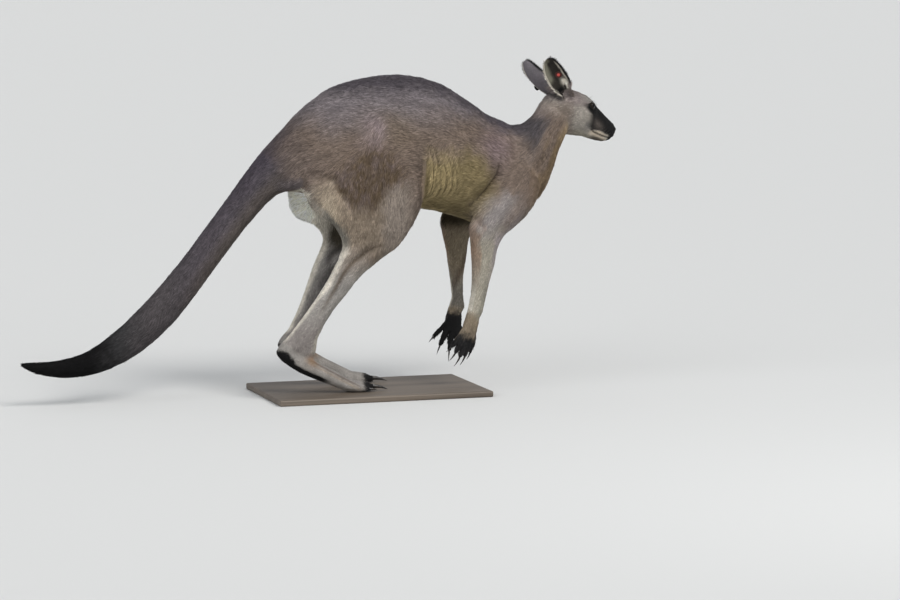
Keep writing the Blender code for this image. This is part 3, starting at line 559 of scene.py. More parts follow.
def blank_skin(voxel):
    """One closed surface round all the flesh, finest on the head, hands and toes."""
    mesh = bmesh.new()
    names = [name for name in flesh_nodes() if not name.startswith("ear_")]
    for name in (*names, "eye_right", "eye_left", "nose"):
        mesh.from_mesh(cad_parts[name].data)
    bmesh.ops.remove_doubles(mesh, verts=mesh.verts, dist=1e-5)
    data = bpy.data.meshes.new("skin")
    obj = linked("skin", stored(mesh, data))
    steps = lens_steps()
    places = places_of(data)
    for step in steps:
        places = through_lens(places, *step)
    set_places(data, places)
    remesh = obj.modifiers.new("grid", "REMESH")
    remesh.mode = "VOXEL"
    remesh.voxel_size = voxel
    applied(obj)
    smoothed(obj, SKIN_PASSES)
    places = places_of(obj.data)
    for step in reversed(steps):
        places = through_lens(places, *step, back=True)
    set_places(obj.data, places)
    return obj


def averaged(values, edges, passes):
    """Evens out a value over the mesh by averaging along its edges."""
    a, b = edges.T
    count = np.bincount(a, minlength=len(values)) + np.bincount(b, minlength=len(values))
    count = np.maximum(count, 1)
    for _ in range(passes):
        total = np.bincount(a, values[b], len(values)) + np.bincount(b, values[a], len(values))
        values = 0.4 * values + 0.6 * total / count
    return values


def solids_tree():
    """The flesh solids, eyes and nose for finding their nearest point."""
    mesh = bmesh.new()
    for name in (*flesh_nodes(), "eye_right", "eye_left", "nose"):
        if not name.startswith("ear_"):
            mesh.from_mesh(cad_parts[name].data)
    tree = BVHTree.FromBMesh(mesh)
    mesh.free()
    return tree


def fitted(obj, tree, depth, passes):
    """Moves the smoothed skin back out to the solids, less the coat's depth, but not to their facets."""
    places, normals = places_of(obj.data), normals_of(obj.data)
    gap = np.empty(len(places))
    for i, place in enumerate(places):
        nearest = tree.find_nearest(Vector(place))[0]
        gap[i] = (np.array(nearest) - place) @ normals[i]
    edges = read_rows(obj.data.edges, "vertices", 2, np.int32)
    gap = averaged(np.clip(gap, -FIT_LIMIT, FIT_LIMIT), edges, passes)
    set_places(obj.data, places + normals * (gap - depth)[:, None])
    return obj


def largest_shell(obj):
    """Drops loose crumbs that the grid may leave."""
    mesh = bmesh.new()
    mesh.from_mesh(obj.data)
    left, best = set(mesh.verts), set()
    while left:
        group, stack = set(), [left.pop()]
        while stack:
            at = stack.pop()
            group.add(at)
            near = {edge.other_vert(at) for edge in at.link_edges} & left
            left -= near
            stack.extend(near)
        best = max(best, group, key=len)
    bmesh.ops.delete(mesh, geom=[v for v in mesh.verts if v not in best], context="VERTS")
    stored(mesh, obj.data)
    return obj


def refined(obj, near):
    """Divides the faces whose middles the test accepts."""
    mesh = bmesh.new()
    mesh.from_mesh(obj.data)
    centres = np.array([face.calc_center_median() for face in mesh.faces])
    chosen = near(centres)
    edges = {edge for face, yes in zip(mesh.faces, chosen) if yes for edge in face.edges}
    bmesh.ops.subdivide_edges(mesh, edges=list(edges), cuts=1, use_grid_fill=True, smooth=0.0)
    stored(mesh, obj.data)
    return obj


def near_face_detail(centres):
    """The lids, the nose and the mouth."""
    head = in_head(centres)
    eyes = np.minimum.reduce(
        [lengths(head - mirrored(EYE_PLACE, side)) for side in SIDES.values()]
    )
    mouth = (mouth_gap(head) < 0.01) & (head[:, 0] > 0.115)
    return (eyes < 0.023) | mouth | ((head[:, 0] > 0.205) & (head[:, 2] > -0.03))


ARMPIT_LINE = ((0.446, 0.668), (0.437, 0.642), (0.402, 0.598), (0.36, 0.55))
# Folds and creases on either side: points (x, z), half width, depth.
CREASES = (
    (((0.207, 0.7), (0.208, 0.672), (0.206, 0.63), (0.199, 0.552)), 0.0085, 0.0055),
    (((0.055, 0.452), (0.013, 0.424), (-0.021, 0.398), (-0.05, 0.372)), 0.01, 0.0078),
    (((-0.185, 0.655), (-0.13, 0.65), (-0.085, 0.64), (-0.06, 0.59), (-0.05, 0.56)), 0.012, 0.0035),
    (((-0.12, 0.56), (-0.105, 0.52), (-0.088, 0.48)), 0.012, 0.004),
    (ARMPIT_LINE, 0.008, 0.0095),
    (((0.412, 0.69), (0.395, 0.645), (0.365, 0.6), (0.345, 0.575)), 0.008, 0.0026),
    (((0.385, 0.68), (0.36, 0.63), (0.335, 0.59), (0.322, 0.565)), 0.008, 0.0018),
    (((-0.03, 0.338), (-0.092, 0.29), (-0.136, 0.229), (-0.182, 0.17)), 0.012, 0.002),
    (((0.52, 0.715), (0.498, 0.66), (0.47, 0.61)), 0.018, 0.003),
    (((0.64, 0.77), (0.61, 0.71), (0.585, 0.64)), 0.014, 0.003),
    (((0.345, 0.545), (0.362, 0.51), (0.388, 0.475)), 0.01, 0.003),
    (((-0.172, 0.668), (-0.163, 0.64), (-0.158, 0.6), (-0.14, 0.565), (-0.115, 0.55)), 0.009, 0.005),
)
WRINKLES = 6  # upright folds of loose skin behind the ribs
WRINKLE_START = 0.226
WRINKLE_SPACE = 0.015
# Muscles and bones under the skin: centre, radii, height.
SWELLINGS = (
    ((0.12, 0.125, 0.62), (0.075, 0.06, 0.1), 0.006),
    ((-0.02, 0.13, 0.66), (0.08, 0.06, 0.09), 0.0055),
    ((0.055, 0.15, 0.48), (0.045, 0.05, 0.04), 0.004),
    ((-0.06, 0.12, 0.35), (0.035, 0.04, 0.06), 0.0035),
    ((-0.19, 0.115, 0.148), (0.018, 0.02, 0.018), 0.003),
    ((0.5, 0.105, 0.61), (0.045, 0.04, 0.06), 0.005),
    ((0.445, 0.12, 0.545), (0.035, 0.04, 0.04), 0.0035),
    ((0.405, 0.115, 0.405), (0.022, 0.03, 0.05), 0.003),
    ((0.35, 0.099, 0.48), (0.018, 0.03, 0.018), 0.0035),
)


VENT_PLACE = (-0.15, 0.07, 0.505)  # the fold of skin below the tail, on the left
VENT_RADII = (0.05, 0.075, 0.05)
HEAD_SWELLINGS = (  # the same, in the head's frame; below 0 it is a hollow
    ((0.082, 0.036, 0.068), (0.022, 0.014, 0.009), 0.0034),  # brow
    ((0.098, 0.046, 0.022), (0.026, 0.014, 0.009), 0.003),  # cheekbone
    ((0.05, 0.05, -0.012), (0.034, 0.02, 0.026), 0.0034),  # jaw muscle
    ((0.14, 0.036, 0.024), (0.022, 0.014, 0.018), -0.0034),  # before the eye
    ((0.2, 0.022, -0.006), (0.018, 0.012, 0.009), 0.0022),  # upper lip
    ((0.115, 0.048, -0.012), (0.024, 0.016, 0.012), -0.002),  # below the cheekbone
)


def crease_push(spots, lateral, points, width, depth):
    """How far a crease moves the skin: a groove with a soft bank on either side."""
    nearest = np.full(len(spots), 1.0)
    along = np.zeros(len(spots))
    last = len(points) - 1
    for i in range(last):
        distance, share = segment_distance(spots, points[i], points[i + 1])
        closer = distance < nearest
        nearest = np.where(closer, distance, nearest)
        along = np.where(closer, (i + share) / last, along)
    taper = ramp(along, 0.0, 0.22) * ramp(along, 1.0, 0.75)
    banks = 0.38 * hump(nearest, width * 1.9, width)
    return lateral * taper * depth * (banks - np.exp(-((nearest / width) ** 2)))


def wrinkle_lines():
    """The upright folds of the flank, each as points (x, z)."""
    lines = []
    for i in range(WRINKLES):
        x = WRINKLE_START + WRINKLE_SPACE * i + 0.0032 * math.sin(5.1 * i + 0.7)
        wave = 0.0022 * math.sin(2.3 * i)
        top = 0.735 - 0.01 * i + 0.016 * math.sin(1.7 * i)
        low = 0.566 + 0.004 * math.sin(3.1 * i)
        high, deep = top * 0.7 + low * 0.3, top * 0.3 + low * 0.7
        upper, lower = (x - 0.001 + wave, high), (x + 0.003 - wave, deep)
        lines.append(((x - 0.015, top), upper, lower, (x - 0.01, low)))
    return lines


def sculpt_body(obj, fold_depth):
    """Presses folds, creases and muscles into the skin of the trunk and limbs."""
    places = places_of(obj.data)
    normals = normals_of(obj.data)
    spots = in_stance(places)
    push = np.zeros(len(places))
    facing = ramp(np.abs(normals[:, 1]), 0.25, 0.75)
    for points, width, depth in CREASES:
        for side in SIDES.values():
            step = LEFT_STEP if side > 0 else 0.0
            line = [(x + step * float(ramp(z, *STEP_FADE)), z) for x, z in points]
            lateral = facing * (spots[:, 1] * side > 0.02)
            push += crease_push(spots[:, (0, 2)], lateral, line, width, depth)
    for i, line in enumerate(wrinkle_lines()):
        fold = fold_depth * (0.8 + 0.34 * math.sin(1.1 + 2.0 * i)) * (1.0 - 0.06 * i)
        push += crease_push(spots[:, (0, 2)], facing, line, 0.004, fold)
    for centre, radii, height in SWELLINGS:
        for side in SIDES.values():
            middle = mirrored(centre, side)
            middle[0] += LEFT_STEP * float(ramp(centre[2], *STEP_FADE)) * (side > 0)
            push += height * swell(spots, middle, radii)
    share = shares_of(places)
    forearm = share["forearm"] + 0.8 * share["hand"]
    push -= 0.0046 * forearm * (spots[:, 1] > 0) * ramp(spots[:, 2], 0.18, 0.25)
    push += 0.0018 * (share["hand"] * ramp(spots[:, 2], 0.165, 0.145))
    away = (spots - np.array(VENT_PLACE)) ** 2 / np.array(VENT_RADII) ** 2
    push += 0.012 * np.exp(-away.sum(1)) * ramp(-normals[:, 0], -0.1, 0.5)
    broad = ramp(spots[:, 2], 0.3, 0.45) * ramp(spots[:, 0], 0.66, 0.6)
    push += 0.0012 * broad * layered_noise(places, 0.06, 11)
    set_places(obj.data, places + normals * push[:, None])
    return obj


def eye_axes(side):
    """The way an eye looks, along its slit and up across it, in the head's frame."""
    out, slit = unit(mirrored(EYE_OUT, side)), mirrored(EYE_SLIT, side)
    slit = unit(slit - out * (slit @ out))
    up = np.cross(out, slit)
    return out, slit, up if up[2] > 0 else -up


def sculpt_head(obj):
    """Brow, cheeks, lids, nostril wings and mouth."""
    places = places_of(obj.data)
    head = in_head(places)
    normals = normals_of(obj.data) @ HEAD_TURN
    push = np.zeros(len(places))
    for side in SIDES.values():
        for centre, radii, height in HEAD_SWELLINGS:
            push += height * swell(head, mirrored(centre, side), radii)
    for which in SIDES:
        share, rear, _ = ear_opening(which, places)
        opening = ear_axes(which)[2] @ HEAD_TURN
        canal = share * ramp(rear, -0.15, 0.25) * ramp(normals @ opening, 0.0, 0.4)
        head = head - opening * (0.01 * canal + 0.0025 * share)[:, None]
    lateral = ramp(np.abs(normals[:, 1]), 0.1, 0.5) * (head[:, 0] > 0.1)
    distance = mouth_gap(head)
    end = ramp(head[:, 0], 0.122, 0.138)
    push -= 0.003 * end * lateral * np.exp(-((distance / 0.0018) ** 2))
    below = (head[:, 2] < np.interp(head[:, 0], *lip_curve())) & (head[:, 0] > 0.12)
    push -= 0.0012 * end * lateral * below * np.exp(-((distance / 0.008) ** 2))
    head = head + normals * push[:, None]
    for side in SIDES.values():
        head = with_lids(head, side)
    set_places(obj.data, from_head(head))
    return obj


def lip_curve():
    """The mouth line as two lists for interpolation, rising along the muzzle."""
    points = sorted(MOUTH_LINE)
    return [p[0] for p in points], [p[1] for p in points]


def with_lids(head, side):
    """Opens the skin over an eye and thickens its edge into lids."""
    out, slit, up = eye_axes(side)
    away = head - mirrored(EYE_PLACE, side)
    depth = lengths(away)
    look = unit(away)
    facing = look @ out
    a = (away @ slit) / EYE_HALF_LENGTH
    b = (away @ up) / EYE_HALF_HEIGHT
    b = np.where(b > 0, b * 0.94, b * 1.12)  # the lower lid is flatter than the upper one
    almond = np.sqrt(a * a + b * b * (1.0 + 0.55 * a * a))
    inside = EYE_RADIUS - 0.005
    rim = EYE_RADIUS + 0.0013 + 0.0008 * ramp(b, 0.2, 0.9)
    opened = ramp(almond, 1.06, 0.92)
    lid = ramp(almond, 2.05, 1.12)
    target = inside * opened + (1.0 - opened) * (rim * lid + depth * (1.0 - lid))
    crease = 0.0012 * np.exp(-(((almond - 1.62) / 0.16) ** 2)) * ramp(b, 0.0, 0.5)
    target = target - crease * (1.0 - opened)
    mask = ramp(facing, 0.15, 0.45) * (depth < 0.034) * ramp(almond, 2.6, 1.9)
    moved = depth + (target - depth) * mask
    return head + look * (moved - depth)[:, None]


def ear_axes(which):
    """Root, direction to the tip, way it opens and direction across, in the model's frame."""
    root, tip, opening = EARS[which]
    turn = HEAD.to_3x3()
    along = (turn @ Vector(tip)).normalized()
    opening = turn @ Vector(opening)
    opening = (opening - along * opening.dot(along)).normalized()
    root = HEAD @ Vector(root)
    return tuple(np.array(v) for v in (root, along, opening, along.cross(opening).normalized()))


def ear_half_width(u):
    """Share of the greatest half width: narrow at the root, full below the middle, pointed at the tip."""
    low = EAR_ROOT_WIDTH + (1.0 - EAR_ROOT_WIDTH) * np.sin(np.clip(u / EAR_WIDEST, 0, 1) * np.pi / 2)
    high = 1.0 - np.clip((u - EAR_WIDEST) / (EAR_TIP_END - EAR_WIDEST), 0, 1) ** EAR_TIP_POWER
    return np.where(u < EAR_WIDEST, low, np.sqrt(high))


def ear_point(which, u, v):
    """Places on the ear's middle surface: u from root to tip, v from edge to edge (-1 to 1)."""
    root, along, opening, across = ear_axes(which)
    u, v = np.broadcast_arrays(np.asarray(u, float), np.asarray(v, float))
    opened = np.clip(u / EAR_ROLL_SPAN, 0.0, 1.0)
    half_angle = np.radians(EAR_ROLL_ROOT + (EAR_ROLL_TIP - EAR_ROLL_ROOT) * opened)
    width = EAR_HALF_WIDTH[which] * ear_half_width(u)
    radius = width / np.sin(np.minimum(half_angle, np.pi / 2))
    bow = EAR_BOW * np.sin(np.pi * np.clip(u, 0, 1))
    flat = radius * (np.cos(v * half_angle) - 0.5) + bow
    return (
        root
        + along * (EAR_LENGTH * u)[..., None]
        + across * (radius * np.sin(v * half_angle))[..., None]
        - opening * flat[..., None]
    )


def ear_sheet(which, u, v):
    """The ear's middle surface over a grid, and its directions out of the ear's inner face."""
    middle = ear_point(which, u, v)
    normal = unit(np.cross(np.gradient(middle, axis=0), np.gradient(middle, axis=1)))
    rows, columns, _ = middle.shape
    if normal[rows // 2, columns // 2] @ ear_axes(which)[2] < 0:
        normal = -normal
    return middle, normal


def ear_opening(which, places):
    """The gap between an ear's rims at its root: how deep in it places are, how far towards
    the rear rim, and how far up the ear."""
    root, along, opening, across = ear_axes(which)
    away = places - root
    u = away @ along / EAR_LENGTH
    radius = EAR_HALF_WIDTH[which] * ear_half_width(np.clip(u, 0.0, 1.0))
    rear = away @ across / radius * SIDES[which]
    out = away @ opening / radius
    low = -0.1 + 0.15 * np.abs(rear - 0.6)
    share = ramp(u - low, 0.0, 0.03) * ramp(u, 0.34, 0.26) * ramp(np.abs(rear), 1.02, 0.86)
    return share * ramp(out, -0.9, -0.5) * ramp(out, 2.6, 2.2), rear, u


def ear_shell(which):
    """The ear as one closed leaf, thick at its root and thin along its edge."""
    u = np.linspace(EAR_SINK, 0.995, EAR_ROWS + 1)[:, None]
    v = np.linspace(-1.0, 1.0, EAR_COLUMNS + 1)[None, :]
    middle, normal = ear_sheet(which, u, v)
    edge = np.minimum(1.0 - np.abs(v), 1.0 - np.clip(u, 0, 1) + 0 * v)
    wall = EAR_WALL_EDGE + (EAR_WALL_ROOT - EAR_WALL_EDGE) * ramp(edge, 0.0, 0.5) * ramp(u, 0.9, 0.0)
    # Ridges of gristle run up the inside of the leaf.
    ridges = 0.0007 * np.cos(v * 9.0) * ramp(u, 0.05, 0.25) * ramp(u, 0.85, 0.5) * ramp(edge, 0.05, 0.3)
    rows, columns = EAR_ROWS + 1, EAR_COLUMNS + 1
    inner = middle + normal * (wall / 2 + ridges)[..., None]
    outer = middle - normal * (wall / 2)[..., None]
    vertices = np.concatenate((inner.reshape(-1, 3), outer.reshape(-1, 3)))
    count = rows * columns
    faces = []
    for i in range(rows - 1):
        for j in range(columns - 1):
            a = i * columns + j
            quad = (a, a + 1, a + columns + 1, a + columns)
            faces.append(quad)
            faces.append(tuple(k + count for k in reversed(quad)))
    rim = [i * columns for i in range(rows)] + [(rows - 1) * columns + j for j in range(1, columns)]
    rim += [i * columns + columns - 1 for i in range(rows - 2, -1, -1)]
    rim += list(range(columns - 2, 0, -1))
    for a, b in zip(rim, rim[1:] + rim[:1]):
        faces.append((a, b, b + count, a + count))
    mesh = bmesh.new()
    made = [mesh.verts.new(p) for p in vertices]
    for face in faces:
        mesh.faces.new([made[i] for i in face])
    bmesh.ops.recalc_face_normals(mesh, faces=mesh.faces)
    if mesh.calc_volume(signed=True) < 0:
        bmesh.ops.reverse_faces(mesh, faces=mesh.faces)
    data = stored(mesh, bpy.data.meshes.new("ear_" + which))
    return rounded(linked("ear_shell_" + which, data), 1)


def with_ears(obj):
    """Joins the ears to the head in one closed skin."""
    for which in SIDES:
        shell = ear_shell(which)
        union = obj.modifiers.new("ear", "BOOLEAN")
        union.operation = "UNION"
        union.solver = "MANIFOLD"
        union.object = shell
        applied(obj)
        bpy.data.objects.remove(shell, do_unlink=True)
    return obj


def unwrapped(obj):
    """Gives the skin a map of its own shape, in charts by direction."""
    bpy.ops.object.select_all(action="DESELECT")
    bpy.context.view_layer.objects.active = obj
    obj.select_set(True)
    bpy.ops.object.mode_set(mode="EDIT")
    bpy.ops.mesh.select_all(action="SELECT")
    bpy.ops.uv.smart_project(angle_limit=math.radians(66.0), island_margin=0.002)
    bpy.ops.object.mode_set(mode="OBJECT")
    obj.select_set(False)
    obj.data.uv_layers.active.name = "OFBake"
    return obj


# ---- markings
def mixed(colours, colour, weight):
    return colours + (np.asarray(colour) - colours) * np.clip(weight, 0.0, 1.0)[:, None]


def profile(values, *knots):
    """A smooth line through knots (value, result)."""
    return np.interp(values, [knot[0] for knot in knots], [knot[1] for knot in knots])


def markings(places, normals, coat):
    """The coat's colour at each place, with some light and shade painted into it. Skin and hair both use
    it.
    """
    m = Marks(places, normals, coat)
    colours = trunk_markings(m)
    for kinds, paint, gain, lag in (
        (("tail",), tail_markings, 1.3, 0.0),
        (("thigh",), thigh_markings, 1.5, 0.2),
        (("shank",), shank_markings, 1.4, 0.0),
        (("foot",), foot_markings, 1.5, 0.15),
        (("upper_arm", "forearm"), arm_markings, 1.3, 0.0),
        (("hand",), hand_markings, 1.6, 0.1),
        (("neck",), neck_markings, 1.2, 0.0),
        (("head", "muzzle"), face_markings, 1.4, 0.1),
    ):
        share = sum(m.share[kind] for kind in kinds)
        colours = mixed(colours, paint(m), share * gain - lag)
    # The pale vent below the tail, lightened further as painted light where it lies in shade, the tail's
    # underside above it, painted shade in the hollow behind the knee, a painted shadow on the inside of the
    # arm, and painted shade along the crease of the armpit.
    behind = m.x - LEFT_RUMP_STEP * ramp(m.y, -0.02, 0.06)
    line = np.minimum(0.59 + 0.6 * (m.x + 0.212), 0.606) + 0.008 * m.fine
    # Pale hair of the vent, raised past its own colour as painted light where it lies in shade.
    vent = ramp(m.x, -0.232, -0.212) * ramp(behind + 0.01 * m.fine, -0.135, -0.165)
    vent = vent * ramp(m.z - line, 0.01, -0.008) * ramp(m.z, 0.44, 0.5)
    vent = vent * np.maximum(ramp(-m.ahead, 0.0, 0.35), ramp(m.inward, 0.1, 0.5))
    above = ramp(m.x, -0.156, -0.172) * ramp(m.z + 0.006 * m.fine, 0.598, 0.61)
    above = above * ramp(m.z, 0.655, 0.63) * ramp(m.x, -0.25, -0.215) * ramp(np.abs(m.y), 0.015, 0.03)
    # Painted shade in the hollow behind the knee, on the inner side of the leg.
    hollow = ramp(m.inward, 0.0, 0.4) * hump(behind, -0.082, 0.026) * hump(m.z, 0.462, 0.046)
    # A painted shadow over the upper part of the arm's inner side, under the armpit.
    arm_top = ramp(m.z + 0.01 * m.fine, 0.455, 0.492) * ramp(m.z, 0.6, 0.57)
    arm_top = arm_top * ramp(m.inward, 0.0, 0.4) * ramp(m.x, 0.26, 0.285) * ramp(m.x, 0.46, 0.43)
    arm_top = arm_top * ramp(np.abs(m.y), 0.03, 0.045)
    # Painted shade along the crease of the armpit.
    armpit = line_distance(m.seen, ARMPIT_LINE)
    outer = ramp(np.abs(m.y), 0.03, 0.05) * ramp(-m.inward, 0.1, 0.4)
    colours = m.layered(
        colours,
        ("belly", (2.25, 2.28, 2.25), vent),
        ("tail", (1.25, 1.2, 1.15), above),
        ("thigh", (0.36, 0.4, 0.38), np.minimum(hollow * 1.3, 0.95)),
        ("thigh", (0.2, 0.2, 0.15), arm_top * 0.9),
        ("thigh", 0.42, hump(armpit, 0.0, 0.0062) * outer * 0.85),
    )
    colours = ear_markings(m, colours)
    grain = 0.12 * m.fine + 0.06 * m.broad + 0.07 * m.speck
    return np.clip(colours * (1.0 + grain)[:, None], 0.002, 0.9)


class Marks:
    """What the markings are drawn from: places in the animal's frames, noise and the palette."""

    def __init__(self, places, normals, coat):
        self.places, self.normals = places, normals
        self.x, self.y, self.z = in_stance(places).T
        self.seen = np.stack((self.x, self.z), 1)  # from the side
        self.head = in_head(places)
        self.share = shares_of(places)
        self.broad = layered_noise(places, 0.11, 21)
        self.fine = layered_noise(places, 0.022, 31)
        self.speck = value_noise(places, 0.007, 41)
        self.up = normals[:, 2]
        self.ahead = normals[:, 0]
        self.inward = -normals[:, 1] * np.sign(self.y)
        self.foot_x = self.x - LEFT_STEP * (self.y > 0)
        self.coat = coat

    def plain(self, name, scale=1.0):
        return np.tile(self.tint(name, scale), (len(self.places), 1))

    def tint(self, name, scale=1.0):
        """A colour of the palette, made lighter or darker."""
        return np.array(getattr(self.coat, name)) * scale

    def layered(self, colours, *layers):
        """Lays tints over the colours in turn, each as (name, scale, weights)."""
        for name, scale, weight in layers:
            colours = mixed(colours, self.tint(name, scale), weight)
        return colours


def loose_flank(places):
    """1 where the flank's skin hangs in upright folds."""
    x, _, z = in_stance(places).T
    return ramp(x, 0.2, 0.218) * ramp(x, 0.35, 0.3) * ramp(z, 0.565, 0.595) * ramp(z, 0.765, 0.725)


def trunk_markings(m):
    ridge_edge = m.up + 0.12 * m.broad + 0.1 * m.fine - 0.3 * hump(m.x, -0.085, 0.07)
    ridge = ramp(ridge_edge, 0.42, 0.84) * ramp(m.z, 0.68, 0.76)
    low = ramp(m.z + 0.03 * m.fine, 0.745, 0.66) * ramp(m.x, 0.196, 0.214)
    low = low * ramp(m.x + 0.4 * (m.z - 0.6), 0.47, 0.4)
    colours = m.layered(
        m.plain("loin"),
        ("flank", 1.0, ramp(m.z + 0.04 * m.broad, 0.86, 0.75)),
        ("back", 1.0, ridge),
        ("fold", 1.0, 0.95 * low),
        ("fold", 0.9, ramp(m.z + 0.02 * m.fine, 0.585, 0.55) * ramp(m.x, 0.19, 0.212)),
    )
    fading = 0.1 * ramp(m.x, 0.255, 0.235) - 0.22 * ramp(m.x, 0.27, 0.33)
    colours = colours * (1.0 + low * fading)[:, None]
    brown = hump(m.x, 0.13, 0.06) * hump(m.z, 0.79, 0.05)
    under = ramp(m.up, -0.93, -0.985) * ramp(np.abs(m.y), 0.06, 0.03)
    distance = line_distance(m.seen, *wrinkle_lines())
    folds = loose_flank(m.places)
    streaks = drawn_noise(m.places, np.array((-0.15, 0.0, -1.0)), 0.005, 0.022, 66)
    # Painted shade in the groove of each fold and a painted highlight on its banks, with streaks along the
    # folds.
    lines = 0.34 * hump(distance, 0.0066, 0.0026) - 0.44 * hump(distance, 0.0, 0.0028) + 0.22 * streaks
    colours = m.layered(
        colours,
        ("tan", (0.72, 0.68, 0.62), brown * 0.5),
        ("fold", (1.3, 1.35, 1.75), under),
    )
    colours = colours * (1.0 + folds * lines)[:, None]
    upright = ramp(m.z, 0.67, 0.625)
    breast = ramp(m.x, 0.47, 0.54) * ramp(m.z + 0.02 * m.fine, 0.72, 0.62) * ramp(m.up, 0.4, 0.0)
    mauve = (hump(m.x, 0.445, 0.055) * hump(m.z, 0.715, 0.055))[:, None] * (0.16, 0.14, 0.4)
    colours = m.layered(
        colours,
        # A painted highlight along the thigh's front edge, and painted shade in the groove just ahead of
        # it.
        ("tan", (1.1, 1.02, 0.9), hump(m.x, 0.1985, 0.005) * upright * 0.55),
        ("fold", 0.36, hump(m.x, 0.2125, 0.0045) * upright * 0.75),
    )
    return mixed(colours * (1.0 + mauve), m.tint("tan", (0.64, 0.58, 0.58)), breast * 0.8)


def tail_markings(m):
    return m.layered(
        m.plain("tail", (0.86, 0.84, 0.9)) * (1.0 + 0.1 * m.fine[:, None]),
        ("tail", (1.12, 1.06, 0.94), ramp(m.up, 0.3, -0.35) * ramp(m.x, -0.62, -0.4)),
        ("back", (0.92, 0.88, 0.98), ramp(m.up, 0.1, 0.7) * ramp(m.x, -0.5, -0.2)),
        ("tail", 0.82, ramp(m.x, -0.46, -0.58)),
        ("dark", 5.0, ramp(m.x + 0.03 * m.fine, -0.6, -0.715)),
        ("dark", 0.7, ramp(m.x + 0.02 * m.fine, -0.68, -0.79)),
    )


# Where the brown of the thigh ends below: (x, z).
THIGH_EDGE = (
    (-0.2, 0.66), (-0.09, 0.64), (-0.04, 0.56), (0.03, 0.556), (0.075, 0.618), (0.175, 0.636),
)


def thigh_markings(m):
    edge = profile(m.x, *THIGH_EDGE)
    band = ramp(m.z + 0.02 * m.fine, 0.77, 0.715) * ramp(m.x, -0.19, -0.11)
    low = m.plain("tan", 0.95) * (1.0 + 0.12 * m.speck + 0.35 * hump(m.x, -0.055, 0.04))[:, None]
    thigh = m.layered(
        m.plain("loin", (1.35, 1.22, 1.2)),
        ("flank", 1.0, ramp(m.broad, 0.0, 0.5) * 0.5),
        ("back", 1.0, ramp(m.up + 0.1 * m.fine, 0.52, 0.88)),
        ("thigh", (0.9, 0.88, 0.81), band * (0.86 + 0.4 * m.fine + 0.25 * m.speck)),
    )
    low_weight = ramp(m.z + 0.022 * m.fine + 0.014 * m.broad, edge + 0.03, edge - 0.026)
    low = m.layered(
        low,
        ("shank", (0.84, 0.76, 0.7), ramp(m.x + 0.02 * m.fine, 0.035, 0.085)),
        ("belly", (1.3, 1.17, 1.02), ramp(m.x + 0.02 * m.fine, -0.05, -0.11)),
        ("belly", 1.25, ramp(m.x + 0.015 * m.fine, -0.12, -0.16)),
    )
    thigh = mixed(thigh, low, low_weight * 0.92)
    shaded = ramp(m.z, 0.5, 0.42) * hump(m.x, 0.02, 0.05)
    inner = np.maximum(ramp(m.inward, 0.15, 0.6), ramp(-m.ahead - 0.4 * m.up, 0.45, 0.85))
    back = m.x - LEFT_RUMP_STEP * (m.y > 0)
    # Inside the thigh: pale belly hair at the rear, painted darker towards the front as the shade between
    # the legs.
    inside = m.tint("belly", 0.4) + m.tint("belly", 0.78) * ramp(back, -0.085, -0.13)[:, None]
    thigh = m.layered(
        thigh,
        ("tan", (0.62, 0.58, 0.5), shaded * 0.8),
        ("thigh", 0.62, tendon_shade(m)),
    )
    return mixed(thigh, inside, inner * ramp(m.z, 0.675, 0.64))


TENDON_LINE = (  # (x, z)
    (0.055, 0.452), (0.013, 0.424), (-0.021, 0.398), (-0.05, 0.368), (-0.092, 0.29), (-0.13, 0.225),
)


def tendon_shade(m):
    """How dark the hollow between the shin and the tendon behind it is."""
    spots = np.stack((m.foot_x * ramp(m.z, *STEP_FADE) + m.x * ramp(m.z, *STEP_FADE[::-1]), m.z), 1)
    distance = line_distance(spots, TENDON_LINE)
    return hump(distance, 0.0, 0.0068) * ramp(m.z, 0.2, 0.34) * ramp(-m.inward, 0.1, 0.5)


def shank_markings(m):
    return m.layered(
        m.plain("shank") * (1.0 + 0.05 * m.fine[:, None] + 0.06 * m.speck[:, None]),
        ("tan", (1.0, 1.02, 1.08), ramp(m.z, 0.32, 0.42) * ramp(m.inward, 0.2, -0.3) * 0.8),
        # Painted shade on the inner side of the shank, between the legs.
        ("shank", (0.34, 0.33, 0.34), ramp(m.inward, 0.1, 0.6) * ramp(m.ahead, -0.6, 0.0)),
        ("shank", (0.76, 0.73, 0.74), ramp(m.z, 0.255, 0.175) * ramp(m.ahead, 0.75, 0.35)),
        ("thigh", 0.85, tendon_shade(m) * 0.85),
        # The pale hair of the shank's rear edge, brightened further as a painted highlight.
        ("belly", 1.62, ramp(-m.ahead + 0.1 * m.fine, 0.52, 0.86)),
        ("belly", 0.95, ramp(m.z, 0.21, 0.17) * ramp(m.ahead, 0.3, 0.7) * 0.8),
    )


# Height up to which the heel is black: (x, z).
HEEL_EDGE = ((-0.26, 0.135), (-0.222, 0.133), (-0.205, 0.113), (-0.192, 0.088), (-0.175, -0.02))


